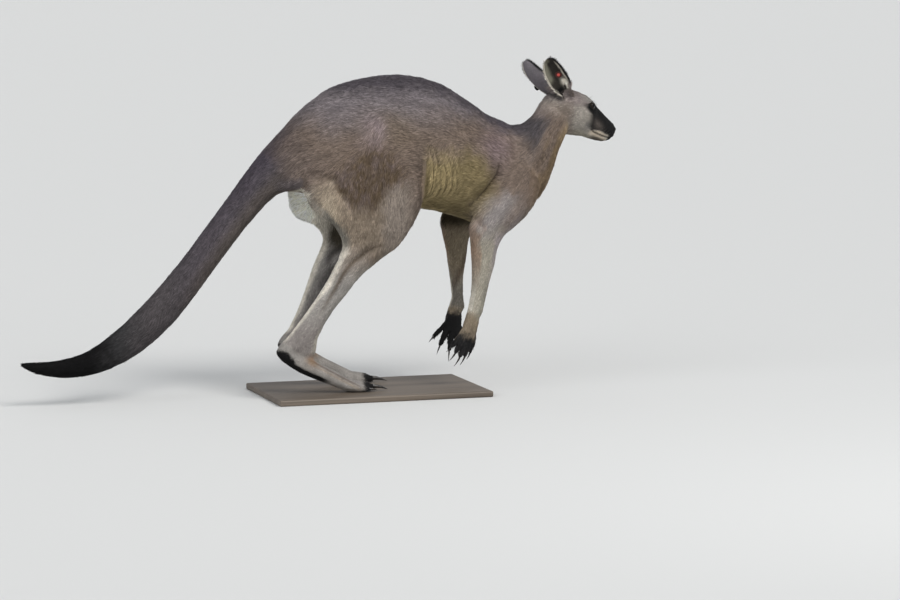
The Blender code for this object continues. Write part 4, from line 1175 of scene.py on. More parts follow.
def foot_markings(m):
    foot = m.plain("shank", 0.92) * (1.0 + 0.14 * m.fine[:, None])
    across = m.z - 0.02 + 0.56 * (m.foot_x + 0.01)  # height above the foot's own middle line
    outer = ramp(-m.inward, 0.1, 0.6) * ramp(m.foot_x, -0.175, -0.145) * ramp(m.foot_x, 0.015, -0.01)
    ankle = hump(m.foot_x, -0.142, 0.02) * hump(m.z, 0.103, 0.018)
    down = -0.5 * m.ahead - 0.86 * m.up + 0.14 * m.fine
    behind = ramp(m.foot_x + 0.012 * m.fine, -0.085, -0.11)
    sole = ramp(down, 0.34, 0.62) * behind
    heel_top = profile(m.foot_x, *HEEL_EDGE)
    heel = ramp(heel_top + 0.004 * m.fine - m.z, -0.003, 0.003)
    return m.layered(
        foot,
        ("tan", (1.18, 1.1, 1.0), outer * hump(across, -0.005, 0.0036) * 0.55),
        ("thigh", (0.9, 0.8, 0.8), outer * hump(across, 0.004, 0.0026) * 0.75),
        ("shank", (0.68, 0.66, 0.72), outer * hump(across, 0.015, 0.006) * 0.8),
        ("tan", (0.98, 0.72, 0.5), ankle * 0.7),
        ("dark", 1.0, np.maximum.reduce([sole, heel, ramp(-m.up, 0.9, 0.98)])),
        ("dark", 2.2, ramp(m.foot_x + 0.008 * m.fine, 0.006, 0.024)),
    )


def arm_markings(m):
    rear_arm = ramp(m.x - 0.55 * (m.z - 0.55), 0.5, 0.445)
    pale = ramp(m.z + 0.03 * m.fine, 0.61, 0.555) * (0.25 + 0.75 * rear_arm)
    middle = hump(m.z, 0.43, 0.09)
    inner = ramp(m.inward, 0.15, 0.6)
    return m.layered(
        m.plain("flank"),
        ("shank", (0.82, 0.79, 0.82), pale),
        ("shank", (1.1, 1.08, 0.96), ramp(m.z + 0.03 * m.fine, 0.52, 0.4)),
        ("shank", (0.9, 0.9, 0.8),
         ramp(m.z + 0.03 * m.fine, 0.36, 0.28) * ramp(m.ahead, -0.2, 0.3)),
        ("tan", (0.78, 0.7, 0.66), ramp(m.ahead, 0.25, 0.75) * ramp(m.z, 0.53, 0.57)),
        ("tan", (1.12, 0.88, 0.78), ramp(-m.ahead + 0.2 * m.fine, 0.25, 0.65) * middle * 0.75),
        ("loin", (1.7, 1.72, 1.75), ramp(m.ahead + 0.2 * m.fine, 0.15, 0.55) * middle * 0.7),
        ("belly", 1.25, ramp(-m.ahead, 0.45, 0.85) * ramp(m.z, 0.33, 0.27)),
        ("tan", (0.9, 0.92, 0.86), inner * ramp(m.z, 0.26, 0.36)),
        # A painted shadow along the front of the arm's inner side.
        ("thigh", 1.0,
         inner * hump(m.x - 0.5 * (m.z - 0.35), 0.385, 0.013) * ramp(m.z, 0.24, 0.3) * 0.85),
        # Painted shade over the inner side of the lower forearm.
        ("shank", (0.36, 0.35, 0.33), inner * ramp(m.z, 0.34, 0.26) * 0.85),
    )


def hand_markings(m):
    wrist = m.plain("tan", (0.92, 0.92, 0.88))
    speck = 0.01 * m.speck
    near = m.layered(wrist, ("dark", 3.2, ramp(m.z + 0.022 * m.fine + speck, 0.186, 0.138)))
    far = m.layered(wrist, ("dark", 2.8, ramp(m.z + 0.02 * m.fine + speck, 0.234, 0.194)))
    hand = np.where((m.y > 0)[:, None], far, near)
    return m.layered(hand, ("dark", 1.5, ramp(m.inward, 0.3, 0.7) * ramp(m.z, 0.215, 0.19)))


def neck_markings(m):
    nape = ramp(m.up - 0.5 * m.ahead + 0.15 * m.fine, 0.1, 0.62) * ramp(m.z, 0.83, 0.79)
    side = hump(m.x + 0.3 * (m.z - 0.76), 0.548, 0.03) * hump(m.z, 0.765, 0.045)
    throat = ramp(m.ahead - 0.2 * m.up + 0.1 * m.fine, 0.2, 0.7)
    high = m.tint("tan", (1.05, 0.97, 0.8)) - m.tint("tan", (0.74, 0.66, 0.52))
    tan = m.tint("tan", (0.74, 0.66, 0.52)) + high * ramp(m.z, 0.7, 0.78)[:, None]
    neck = m.layered(
        m.plain("crown", (0.86, 0.82, 0.8)),
        ("flank", (0.95, 0.95, 0.95), ramp(m.up, 0.6, 0.1)),
        ("back", (0.9, 0.92, 0.86), np.maximum(nape, 0.9 * side)),
    )
    return mixed(neck, tan, throat)


def mouth_gap(head):
    """Distance from the line of the lips, seen from the side."""
    return line_distance(head[:, (0, 2)], MOUTH_LINE)


# The edges of the black patch: how far along it starts at each height, and the heights of its
# lower and upper edges along the head.
MASK_REAR = (
    (-0.024, 0.134), (-0.012, 0.122), (0.005, 0.11), (0.025, 0.101), (0.04, 0.074), (0.06, 0.078),
)
MASK_LOW = ((0.1, -0.019), (0.125, -0.019), (0.165, -0.01), (0.195, -0.012), (0.205, -0.03))
MASK_TOP = ((0.07, 0.049), (0.092, 0.056), (0.108, 0.06), (0.118, 0.09))


def face_markings(m):
    hx, hy, hz = m.head.T
    ragged = 0.0035 * m.fine + 0.0015 * m.speck
    brow = hump(hx, 0.095, 0.026) * hump(hz, 0.066, 0.012)
    jaw = ramp(hz + ragged, -0.026, -0.04)
    shadow = hump(hx, 0.112, 0.013) * hump(hz, -0.01, 0.011)
    rear, low, high = profile(hz, *MASK_REAR), profile(hx, *MASK_LOW), profile(hx, *MASK_TOP)
    mask = ramp(hx - rear + ragged, -0.012, 0.012) * ramp(hz - low + ragged, -0.003, 0.004)
    bridge = ramp(np.abs(hy), 0.03, 0.004)
    mask = mask * ramp(high - 0.008 * bridge - hz + ragged, -0.003 - 0.004 * bridge, 0.002 + 0.003 * bridge)
    # A lighter brown patch within the black along the side of the muzzle.
    lighter_muzzle_patch = hump(hx, 0.146, 0.023) * hump(hz, 0.002 + 0.25 * (0.15 - hx), 0.014)
    lip = ramp(hx, 0.124, 0.14) * ramp(hx, 0.203, 0.196) * ramp(hz - low + ragged, 0.002, -0.005)
    # Painted shade: the front of the chin under the mouth is darkened.
    chin = ramp(hz + ragged, -0.026, -0.034) * ramp(hx, 0.14, 0.158)
    seam = np.exp(-((mouth_gap(m.head) / 0.0024) ** 2)) * ramp(hx, 0.118, 0.13)
    return m.layered(
        m.plain("crown"),
        ("cheek", 1.0, ramp(hz - 0.25 * np.abs(hy) + ragged, 0.036, 0.008)),
        ("tan", 1.05, ramp(hx, 0.055, 0.02) * ramp(hz, 0.04, 0.0) * 0.6),
        ("cheek", (0.9, 0.94, 0.98), brow),
        ("shank", (0.86, 0.84, 0.74), jaw * ramp(hx, 0.06, 0.09)),
        ("mask", 7.0, shadow * 0.75),
        ("mask", 1.0, mask),
        ("mask", (9.5, 8.4, 7.2), lighter_muzzle_patch * 0.85),
        ("lip", 1.0, lip * ramp(hz, -0.036, -0.028)),
        ("belly", (1.1, 1.1, 1.1), hump(hx, 0.194, 0.007) * hump(hz, -0.021, 0.006)),
        # Painted shade on the chin.
        ("mask", (6.4, 5.3, 4.1), chin * 0.9),
        ("mask", 1.0, seam * 0.9),
    )


class EarFinder:
    """Finds where places lie on the two ears: up the ear, across it, and which face they are on."""

    def __init__(self):
        u = np.linspace(0.0, 0.995, 40)[:, None]
        v = np.linspace(-1.0, 1.0, 33)[None, :]
        self.grids = {}
        for which in SIDES:
            middle, normal = (rows.reshape(-1, 3) for rows in ear_sheet(which, u, v))
            tree = KDTree(len(middle))
            for i, place in enumerate(middle):
                tree.insert(place, i)
            tree.balance()
            uu, vv = np.broadcast_arrays(u, v)
            self.grids[which] = (tree, middle, normal, uu.ravel(), vv.ravel())

    def find(self, places):
        """Arrays: on an ear (0 to 1), share up it, share across to its rear rim, and on its inner face."""
        on, u, rear, inner = np.zeros((4, len(places)))
        near = np.nonzero(lengths(in_head(places) - EARS_CENTRE) < EARS_REACH)[0]
        for which, (tree, middle, normal, us, vs) in self.grids.items():
            for i in near:
                _, at, distance = tree.find(places[i])
                weight = float(ramp(distance, 0.0085, 0.0055))
                if weight > on[i]:
                    on[i] = weight
                    u[i] = us[at]
                    rear[i] = vs[at] * SIDES[which]
                    inner[i] = (places[i] - middle[at]) @ normal[at] > 0
        return on, u, rear, inner


EAR_FINDER = EarFinder()


def ear_weight(places):
    """1 on either ear, falling to 0 over its root."""
    on, u, _, _ = EAR_FINDER.find(places)
    return on * ramp(u, 0.1, 0.2)


def ear_markings(m, colours):
    on, u, rear, inner = EAR_FINDER.find(m.places)
    noise = layered_noise(m.places, 0.01, 51)
    rear_n = rear + 0.08 * noise
    back = m.plain("crown", (0.66, 0.7, 0.8))
    edge = profile(u, (0.0, 0.42), (0.3, 0.56), (0.6, 0.8), (1.0, 0.9))
    edge = edge - 0.16 * (m.y > 0)
    # The inner face of the ear: its dark bare skin, with the shade inside the cupped ear painted into it.
    hollow = m.plain("mask", (3.6, 3.3, 2.8))
    back = m.layered(
        back,
        ("belly", 1.6, ramp(rear_n - edge, 0.02, 0.12)),
        ("dark", 3.0, ramp(rear_n, -0.72, -0.9)),
        ("crown", 1.15, ramp(u, 0.22, 0.1) * ramp(rear_n, 0.1, -0.2)),
    )
    tuft = hump(u + 0.03 * noise, 0.175, 0.105) * hump(rear_n, -0.5, 0.19)
    # The ear canal, painted black for the shade of its depth.
    canal = ramp(u, 0.16, 0.1) * ramp(rear, -0.52, -0.36) * ramp(rear, 0.6, 0.4)
    hollow = m.layered(
        hollow,
        ("cheek", (0.66, 0.7, 0.62), ramp(rear_n, -0.06, 0.34) * ramp(u, 0.28, 0.46)),
        ("cheek", (0.5, 0.52, 0.44), ramp(u + 0.06 * noise, 0.84, 0.92) * ramp(rear_n, -0.5, 0.1)),
        ("belly", 1.45, ramp(rear_n, 0.7, 0.86) * ramp(u, 0.97, 0.88)),
        ("belly", 1.1, hump(rear_n, -0.78, 0.07) * ramp(u, 0.2, 0.3) * ramp(u, 0.86, 0.7)),
        ("dark", 2.2, ramp(rear_n, -0.88, -0.95)),
        ("belly", 1.9, tuft * 2.2),
        ("dark", 0.6, canal),
        ("crown", 1.15, ramp(u, 0.17, 0.09) * ramp(rear_n, -0.58, -0.72)),
    )
    ear = np.where(inner[:, None] > 0.5, hollow, back)
    colours = mixed(colours, ear, on * ramp(u, 0.0, 0.06))
    for which in SIDES:
        share, across, up = ear_opening(which, m.places)
        share = share * (1.0 - on * ramp(u, 0.0, 0.06) * 0.9)
        # The opening between the rims at the ear's root, painted dark as the shade inside it, with paler
        # hair along its edges.
        gap = m.layered(
            m.plain("dark", 0.8),
            ("crown", 1.25, ramp(across + 0.1 * noise, -0.24, -0.46) * ramp(up, 0.34, 0.24)),
            ("belly", 1.7, hump(across, -0.46, 0.2) * ramp(up, 0.055, 0.095) * 1.8),
            ("dark", 1.5, hump(across, -0.68, 0.1)),
        )
        colours = mixed(colours, gap, share)
        behind = ramp(across, 0.98, 1.1) * ramp(across, 1.75, 1.4)
        behind = behind * ramp(up, -0.12, -0.04) * ramp(up, 0.34, 0.22)
        behind = behind * ramp(lengths(m.places - ear_axes(which)[0]), 0.06, 0.045)
        colours = m.layered(colours, ("dark", 3.5, behind * 0.8))
    return colours


def add_colour(mesh, colours, name="coat_colour"):
    layer = mesh.color_attributes.new(name, "FLOAT_COLOR", "POINT")
    data = np.ones((len(mesh.vertices), 4), np.float32)
    data[:, :3] = colours
    layer.data.foreach_set("color", data.ravel())


# ---- materials
def new_material(name, roughness, specular=0.3, **sockets):
    """A Principled material with its constant values set, and the nodes and links to add to it."""
    made = bpy.data.materials.new(name)
    made.use_nodes = True
    tree = made.node_tree
    shader = tree.nodes["Principled BSDF"]
    shader.inputs["Roughness"].default_value = roughness
    shader.inputs["Specular IOR Level"].default_value = specular
    for socket, value in sockets.items():
        shader.inputs[socket.replace("_", " ")].default_value = value
    return made, tree, shader


def noise_value(tree, scale, detail=3.0, stretch=None):
    place = tree.nodes.new("ShaderNodeTexCoord").outputs["Object"]
    noise = tree.nodes.new("ShaderNodeTexNoise")
    noise.inputs["Scale"].default_value = scale
    noise.inputs["Detail"].default_value = detail
    if stretch:
        mapping = tree.nodes.new("ShaderNodeMapping")
        mapping.inputs["Scale"].default_value = stretch
        tree.links.new(place, mapping.inputs["Vector"])
        place = mapping.outputs["Vector"]
    tree.links.new(place, noise.inputs["Vector"])
    return noise.outputs["Fac"]


def toned(tree, shader, value, *stops):
    """Colours the material from a value, through stops of (value, colour) in rising order."""
    node = tree.nodes.new("ShaderNodeValToRGB")
    elements = node.color_ramp.elements
    for i, (position, colour) in enumerate(stops):
        element = elements[i] if i < 2 else elements.new(position)
        element.position = position
        element.color = (*colour, 1.0)
    tree.links.new(value, node.inputs["Fac"])
    tree.links.new(node.outputs["Color"], shader.inputs["Base Color"])


def ranged(tree, value, low, high):
    node = tree.nodes.new("ShaderNodeMapRange")
    node.inputs["To Min"].default_value = low
    node.inputs["To Max"].default_value = high
    tree.links.new(value, node.inputs["Value"])
    return node.outputs["Result"]


def scaled_colour(tree, colour, factor):
    node = tree.nodes.new("ShaderNodeVectorMath")
    node.operation = "SCALE"
    tree.links.new(colour, node.inputs[0])
    tree.links.new(factor, node.inputs["Scale"])
    return node.outputs["Vector"]


def add_bump(tree, shader, height, distance, strength=1.0):
    bump = tree.nodes.new("ShaderNodeBump")
    bump.inputs["Distance"].default_value = distance
    bump.inputs["Strength"].default_value = strength
    tree.links.new(height, bump.inputs["Height"])
    tree.links.new(bump.outputs["Normal"], shader.inputs["Normal"])


def coat_material(name, low, high, bump_distance):
    """Hair or skin that takes its colour from the coat's markings, mottled a little."""
    made, tree, shader = new_material(name, 0.82, 0.09, Sheen_Weight=0.03, Sheen_Roughness=0.4)
    colour = tree.nodes.new("ShaderNodeAttribute")
    colour.attribute_name = "coat_colour"
    factor = ranged(tree, noise_value(tree, 240.0, 4.0), low, high)
    tree.links.new(scaled_colour(tree, colour.outputs["Color"], factor), shader.inputs["Base Color"])
    add_bump(tree, shader, noise_value(tree, 900.0, 4.0), bump_distance)
    return made


# ---- coat
class Tufts(dict):
    """Roots of the coat with all that a tuft needs, as arrays of equal length by name."""

    __getattr__ = dict.__getitem__

    def chosen(self, keep):
        return Tufts({name: values[keep] for name, values in self.items()})


def bare_share(places, normals):
    """How bare the skin is: 1 on finger ends, palms, toes, soles, eyeballs and the nose."""
    spots = in_stance(places)
    head = in_head(places)
    x, y, z = spots.T
    at_hand = (np.abs(x - HAND_X) < 0.1) * (z > 0.03)
    hand = at_hand * ramp(z, 0.128, 0.112)
    palm = at_hand * (z < 0.205) * ramp(-normals[:, 1] * np.sign(y), 0.25, 0.6)
    foot_x = x - LEFT_STEP * (y > 0)
    toes = (z < 0.06) * ramp(foot_x, 0.04, 0.05) * (foot_x < 0.12)
    sole = (z < 0.16) * (foot_x < 0.12) * (x < 0.2) * ramp(-normals[:, 2], 0.75, 0.9)
    nose = lengths((head - NOSE_PLACE) / NOSE_BARE) < 1.0
    bare = np.maximum.reduce([hand, palm, toes, sole, nose.astype(float)])
    for side in SIDES.values():
        out, slit, up = eye_axes(side)
        away = head - mirrored(EYE_PLACE, side)
        a, b = (away @ slit) / EYE_HALF_LENGTH, (away @ up) / EYE_HALF_HEIGHT
        near = (unit(away) @ out > 0.2) & (lengths(away) < 0.03)
        bare = np.maximum(bare, (np.sqrt(a * a + b * b) < 1.32) & near)
    return bare


def drawn_noise(places, lie, size, reach, seed):
    """Noise drawn out along the lie of the hair, as streaks."""
    steps = (-1.0, -0.5, 0.0, 0.5, 1.0)
    drawn = sum(value_noise(places + lie * (reach * step), size, seed) for step in steps)
    return drawn / math.sqrt(len(steps))


def laid(ways, normals):
    """The directions laid flat on the skin."""
    return unit(ways - normals * (ways * normals).sum(1)[:, None])


def ear_fringe(places):
    """How near places are to the rims of the ears, and the way the rim's hair stands out."""
    on, u, rear, _ = EAR_FINDER.find(places)
    share = on * ramp(np.abs(rear), 0.82, 0.95) * ramp(u, 0.02, 0.1)
    outward = np.zeros_like(places)
    for which, side in SIDES.items():
        root, along, opening, across = ear_axes(which)
        away = (places - root) @ across
        way = unit(0.55 * along + 0.3 * opening + across * np.sign(away)[:, None])
        outward = np.where((in_head(places)[:, 1] * side > 0)[:, None], way, outward)
    return share, outward


def planted(skin, coat, rng):
    """Chooses the roots of all tufts over the skin."""
    mesh = skin.data
    places, normals = places_of(mesh), normals_of(mesh)
    mesh.calc_loop_triangles()
    corners, loops = (
        read_rows(mesh.loop_triangles, name, 3, np.int32) for name in ("vertices", "loops")
    )
    uv = read_rows(mesh.uv_layers["OFBake"].data, "uv", 2)
    a, b, c = (places[corners[:, i]] for i in range(3))
    area = lengths(np.cross(b - a, c - a)) / 2
    middle = (a + b + c) / 3
    weights, _ = body_field(middle)
    on_ear = ear_weight(middle)
    spacing = hair_value(weights, 4) * (1 - on_ear) + HAIR["ear"][4] * on_ear
    spacing = spacing * (1.0 - 0.45 * ear_fringe(middle)[0])
    for which in SIDES:
        share, rear, _ = ear_opening(which, middle)
        spacing = spacing * (1.0 + 2.0 * share * ramp(rear, -0.1, 0.2) * (1.0 - on_ear))
    face_normals = unit(np.cross(b - a, c - a))
    wanted = area / (spacing * coat.spacing) ** 2 * (1.0 - bare_share(middle, face_normals))
    count = np.floor(wanted + rng.random(len(wanted))).astype(int)
    index = np.repeat(np.arange(len(corners)), count)
    r1, r2 = rng.random(len(index)), rng.random(len(index))
    over = r1 + r2 > 1
    r1[over], r2[over] = 1 - r1[over], 1 - r2[over]
    shares = np.stack((1 - r1 - r2, r1, r2), 1)
    root, normal, place_uv = (
        np.einsum("ni,nij->nj", shares, values[ends[index]])
        for values, ends in ((places, corners), (normals, corners), (uv, loops))
    )
    normal = unit(normal)
    weights, flow = body_field(root)
    on_ear = ear_weight(root)
    on, u, _, _ = EAR_FINDER.find(root)
    for which, side in SIDES.items():
        mine = (on > 0.5) & (u > 0.05) & (in_head(root)[:, 1] * side > 0)
        flow[mine] = ear_axes(which)[1]
    slack = loose_flank(root)
    flow = flow * (1.0 - 0.6 * slack[:, None]) + slack[:, None] * (-0.2, 0.0, -0.9)
    fringe, outward = ear_fringe(root)
    flow = flow * (1.0 - 0.6 * fringe[:, None]) + outward * fringe[:, None]
    lie = laid(flow, normal)
    flow = laid(flow + 0.1 * rng.normal(size=flow.shape), normal)
    swing = 0.3 * value_noise(root, 0.036, 61) + 0.22 * value_noise(root, 0.012, 62)
    flow = flow * np.cos(swing)[:, None] + np.cross(normal, flow) * np.sin(swing)[:, None]
    clump = value_noise(root, 0.01, 63)
    grain = 0.62 * drawn_noise(root, lie, 0.0062, 0.017, 64)
    grain = grain + 0.5 * drawn_noise(root, lie, 0.016, 0.03, 65)
    fingers = ramp(in_stance(root)[:, 2], 0.165, 0.135) * weights[:, KINDS.index("hand")]
    toes = ramp(root[:, 0] - STANCE.x - LEFT_STEP * (root[:, 1] > 0), 0.0, 0.03)
    ends = np.maximum(fingers, toes * weights[:, KINDS.index("foot")])
    ear = on_ear[:, None]
    hair = (weights @ np.array(list(HAIR.values()))) * (1 - ear) + ear * HAIR["ear"]
    size = rng.uniform(0.72, 1.22, len(root))
    standing = 1.0 + 0.35 * clump + 0.8 * fringe + 0.8 * ends
    return Tufts(
        root=root,
        normal=normal,
        flow=flow,
        uv=place_uv,
        length=hair[:, 0] * size * (1.0 + 0.7 * fringe + 0.5 * ends - 0.35 * slack),
        width=hair[:, 3] * rng.uniform(0.8, 1.2, len(root)),
        lift=np.radians(hair[:, 2] * rng.uniform(0.75, 1.3, len(root)) * standing),
        kind=np.where(on_ear > 0.5, KINDS.index("ear"), weights.argmax(1)),
        tone=rng.random(len(root)),
        clump=clump,
        grain=grain,
        streak=rng.uniform(-1.0, 1.0, len(root)),
    )


# A tuft's corners: its root, then left, right and top of its fullest part, then its tip.
TUFT_FACES = ((4, 2, 1), (4, 3, 2), (4, 1, 3), (0, 1, 2), (0, 2, 3), (0, 3, 1))
TUFT_SIZES = [len(face) for face in TUFT_FACES]
TUFT_CORNERS = [corner for face in TUFT_FACES for corner in face]
TUFT_PATCH = ((0.0, -0.5), (-0.5, -0.1), (0.5, -0.1), (0.0, 0.1), (0.0, 0.5))
TUFT_WAIST = (0.36, 0.56, 0.38)  # the fullest part: share of the length, half width and height
# Painted shade along each tuft: darker at its root and sides, lighter at its top and tip.
TUFT_PAINTED_SHADE = (0.8, 0.94, 0.94, 0.98, 1.08)


def tuft_piece(name, tufts, colours, material):
    """One joined mesh of many three-sided tufts, each bent down along the body."""
    root, normal, flow = tufts.root, tufts.normal, tufts.flow
    length, width, lift = tufts.length[:, None], tufts.width[:, None], tufts.lift[:, None]
    n = len(root)
    side = unit(np.cross(flow, normal))

    def spine(share):
        rise = np.sin(lift) * share * (1.35 - 0.55 * share)
        ahead = np.cos(lift) * share
        return root - normal * 0.0007 + length * (flow * ahead + normal * rise)

    share, half, height = TUFT_WAIST
    waist = spine(share)
    left, right = waist - side * width * half, waist + side * width * half
    top = waist + normal * width * height
    points = np.stack((root - normal * 0.0009, left, right, top, spine(1.0)), 1)
    low, high = normal - 0.3 * flow, normal + 0.3 * flow
    vertex_normals = np.stack((low, normal * 0.5 - side, normal * 0.5 + side, normal, high), 1)
    corners = (np.array(TUFT_CORNERS)[None, :] + 5 * np.arange(n)[:, None]).ravel()
    mesh = array_mesh(name, points.reshape(-1, 3), TUFT_SIZES * n, corners)

    soft = unit(vertex_normals) * (1 - NORMAL_SOFTNESS) + normal[:, None, :] * NORMAL_SOFTNESS
    mesh.normals_split_custom_set_from_vertices(unit(soft).reshape(-1, 3).tolist())

    # Each corner's colour: random tone, grizzled tips and the painted shade of the tuft's corners.
    tip = np.where(tufts.tone < 0.24, 1.5, np.where(tufts.tone > 0.8, 0.55, 1.0))
    tones_with_painted_shade = np.repeat(np.array(TUFT_PAINTED_SHADE)[None, :], n, axis=0)
    tones_with_painted_shade[:, 4] *= tip
    tones_with_painted_shade[:, 1:4] *= (0.5 + 0.5 * tip)[:, None]
    tones_with_painted_shade *= (1.0 + 0.2 * tufts.streak + 0.08 * tufts.clump + 0.24 * tufts.grain)[:, None]
    point_colours = colours[:, None, :] * tones_with_painted_shade[:, :, None]
    add_colour(mesh, np.clip(point_colours.reshape(-1, 3), 0.001, 0.95))

    uv_layer = mesh.uv_layers.new(name="OFBake")
    patch = np.array(TUFT_PATCH)[np.array(TUFT_CORNERS)] * PATCH
    uv = (tufts.uv[:, None, :] + patch[None, :, :]).astype(np.float32)
    uv_layer.data.foreach_set("uv", np.clip(uv, 0.0, 1.0).ravel())
    mesh.materials.append(material)
    return linked(name, mesh)


GROUPS = {
    "head": ("head", "muzzle"),
    "ears": ("ear",),
    "neck": ("neck",),
    "trunk": ("trunk",),
    "tail": ("tail",),
    "thigh": ("thigh",),
    "shank": ("shank",),
    "foot": ("foot",),
    "arm": ("upper_arm", "forearm", "hand"),
}
MIDDLE_GROUPS = ("head", "neck")  # not parted into right and left


def coat_pieces(tufts):
    """Splits the tufts into named groups small enough for one piece each."""
    for group, kinds in GROUPS.items():
        belongs = np.isin(tufts.kind, [KINDS.index(kind) for kind in kinds])
        chosen = {f"coat_{group}": belongs}
        if group not in MIDDLE_GROUPS:
            chosen = {
                f"coat_{group}_{word}": belongs & (tufts.root[:, 1] * sign >= 0)
                for word, sign in SIDES.items()
            }
        for name, keep in chosen.items():
            index = np.nonzero(keep)[0]
            index = index[np.argsort(tufts.root[index, 0], kind="stable")]
            parts = max(1, math.ceil(len(index) / PIECE_TUFTS))
            for part, chunk in enumerate(np.array_split(index, parts)):
                suffix = f"_{part + 1}" if parts > 1 else ""
                yield name + suffix, tufts.chosen(chunk)


# ---- small parts
def grid_ball(rings, around):
    """Unit ball directions with their faces, closed at both poles. The pole is +Z."""
    directions = [(0.0, 0.0, 1.0)]
    for i in range(1, rings):
        polar = math.pi * i / rings
        for j in range(around):
            turn = math.tau * j / around
            directions.append(
                (math.sin(polar) * math.cos(turn), math.sin(polar) * math.sin(turn), math.cos(polar))
            )
    directions.append((0.0, 0.0, -1.0))
    faces = []
    for j in range(around):
        k = (j + 1) % around
        faces.append((0, 1 + j, 1 + k))
        last = 1 + (rings - 2) * around
        faces.append((last + k, last + j, len(directions) - 1))
        for i in range(rings - 2):
            a = 1 + i * around
            faces.append((a + j, a + around + j, a + around + k, a + k))
    return np.array(directions), faces


def mesh_from_faces(name, vertices, faces):
    sizes = [len(face) for face in faces]
    return array_mesh(name, vertices, sizes, [corner for face in faces for corner in face])


def lathe(name, profile, around, centre, axes):
    """A closed round piece: profile of (height, radius), its first and last points on the axis."""
    side, over, axis = axes
    vertices, faces = [centre + axis * profile[0][0]], []
    for height, radius in profile[1:-1]:
        for j in range(around):
            turn = math.tau * j / around
            spoke = side * math.cos(turn) + over * math.sin(turn)
            vertices.append(centre + axis * height + spoke * radius)
    vertices.append(centre + axis * profile[-1][0])
    last_ring = 1 + (len(profile) - 3) * around
    for j in range(around):
        k = (j + 1) % around
        faces.append((0, 1 + k, 1 + j))
        faces.append((last_ring + j, last_ring + k, len(vertices) - 1))
        for i in range(len(profile) - 3):
            a = 1 + i * around
            faces.append((a + j, a + k, a + around + k, a + around + j))
    mesh = mesh_from_faces(name, np.array(vertices), faces)
    mesh.set_sharp_from_angle(angle=math.radians(40.0))
    return linked(name, mesh)


# ---- operators
class KANGAROO_OT_skin(Operator):
    """Build the one skin that covers all the flesh, with its folds, lids and ears"""

    bl_idname = "kangaroo.skin"
    bl_label = "Skin"

    def execute(self, context):
        settings = context.scene.kangaroo_skin
        skin = blank_skin(settings.voxel)
        largest_shell(skin)
        share = shares_of(places_of(skin.data))
        smoothed(skin, BROAD_PASSES, share["trunk"] + share["tail"] + share["thigh"] + 0.7 * share["neck"])
        tree = solids_tree()
        fitted(skin, tree, 0.0, FIT_PASSES)
        fitted(skin, tree, hair_value(body_field(places_of(skin.data))[0], 1), FIT_PASSES)
        refined(skin, lambda centres: loose_flank(centres) > 0.0)
        sculpt_body(skin, settings.fold_depth)
        refined(skin, near_face_detail)
        sculpt_head(skin)
        with_ears(skin)
        skin.data.polygons.foreach_set("use_smooth", np.ones(len(skin.data.polygons), bool))
        unwrapped(skin)
        coat = context.scene.kangaroo_coat
        colours = markings(places_of(skin.data), normals_of(skin.data), coat)
        # The skin under the hair is painted a little darker, as the shade the coat casts on it.
        add_colour(skin.data, 0.92 * colours)
        skin.data.materials.clear()
        skin.data.materials.append(coat_material("skin_under_hair", 0.7, 1.2, 0.0012))
        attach(skin, "root")
        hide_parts(*flesh_nodes())
        return {"FINISHED"}


class KANGAROO_OT_coat(Operator):
    """Plant the coat's tufts over the skin, lying back along the body and down the limbs"""

    bl_idname = "kangaroo.coat"
    bl_label = "Coat"

    def execute(self, context):
        coat = context.scene.kangaroo_coat
        rng = np.random.default_rng(coat.seed)
        tufts = planted(bpy.data.objects["skin"], coat, rng)
        hair = coat_material("hair", 0.8, 1.2, 0.0004)
        for name, chosen in coat_pieces(tufts):
            piece = tuft_piece(name, chosen, markings(chosen.root, chosen.normal, coat), hair)
            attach(piece, "root")
        return {"FINISHED"}


class KANGAROO_OT_eyes(Operator):
    """Make the two glossy dark eyes"""

    bl_idname = "kangaroo.eyes"
    bl_label = "Eyes"

    def execute(self, context):
        directions, faces = grid_ball(40, 48)
        material = eye_material()
        for word, side in SIDES.items():
            out, slit, _ = eye_axes(side)
            bulge = 1.0 + 0.045 * ramp(directions[:, 2], 0.8, 0.95)
            local = directions * bulge[:, None] * EYE_RADIUS
            frame_axes = np.array((slit, np.cross(out, slit), out))
            head = local @ frame_axes + mirrored(EYE_PLACE, side)
            name = f"eyeball_{word}"
            mesh = mesh_from_faces(name, from_head(head), faces)
            facing = mesh.attributes.new("facing", "FLOAT_VECTOR", "POINT")
            facing.data.foreach_set("vector", directions.astype(np.float32).ravel())
            mesh.materials.append(material)
            piece = linked(name, mesh)
            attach(piece, "root")
            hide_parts(f"eye_{word}")
        return {"FINISHED"}


def eye_material():
    """Wet dark brown, with a level oval pupil and a darker rim round the iris."""
    made, tree, shader = new_material("wet_eye", 0.1, 0.1, Coat_Weight=0.16, Coat_Roughness=0.02)
    place = tree.nodes.new("ShaderNodeAttribute")
    place.attribute_name = "facing"
    mapping = tree.nodes.new("ShaderNodeMapping")
    mapping.inputs["Scale"].default_value = (0.78, 1.0, 0.0)
    length = tree.nodes.new("ShaderNodeVectorMath")
    length.operation = "LENGTH"
    tree.links.new(place.outputs["Vector"], mapping.inputs["Vector"])
    tree.links.new(mapping.outputs["Vector"], length.inputs[0])
    toned(
        tree,
        shader,
        length.outputs["Value"],
        (0.26, (0.0015, 0.0015, 0.0015)),  # pupil
        (0.36, (0.0085, 0.0055, 0.004)),
        (0.52, (0.012, 0.0075, 0.005)),  # iris
        (0.66, (0.004, 0.003, 0.002)),
        (0.82, (0.012, 0.009, 0.008)),
    )
    return made


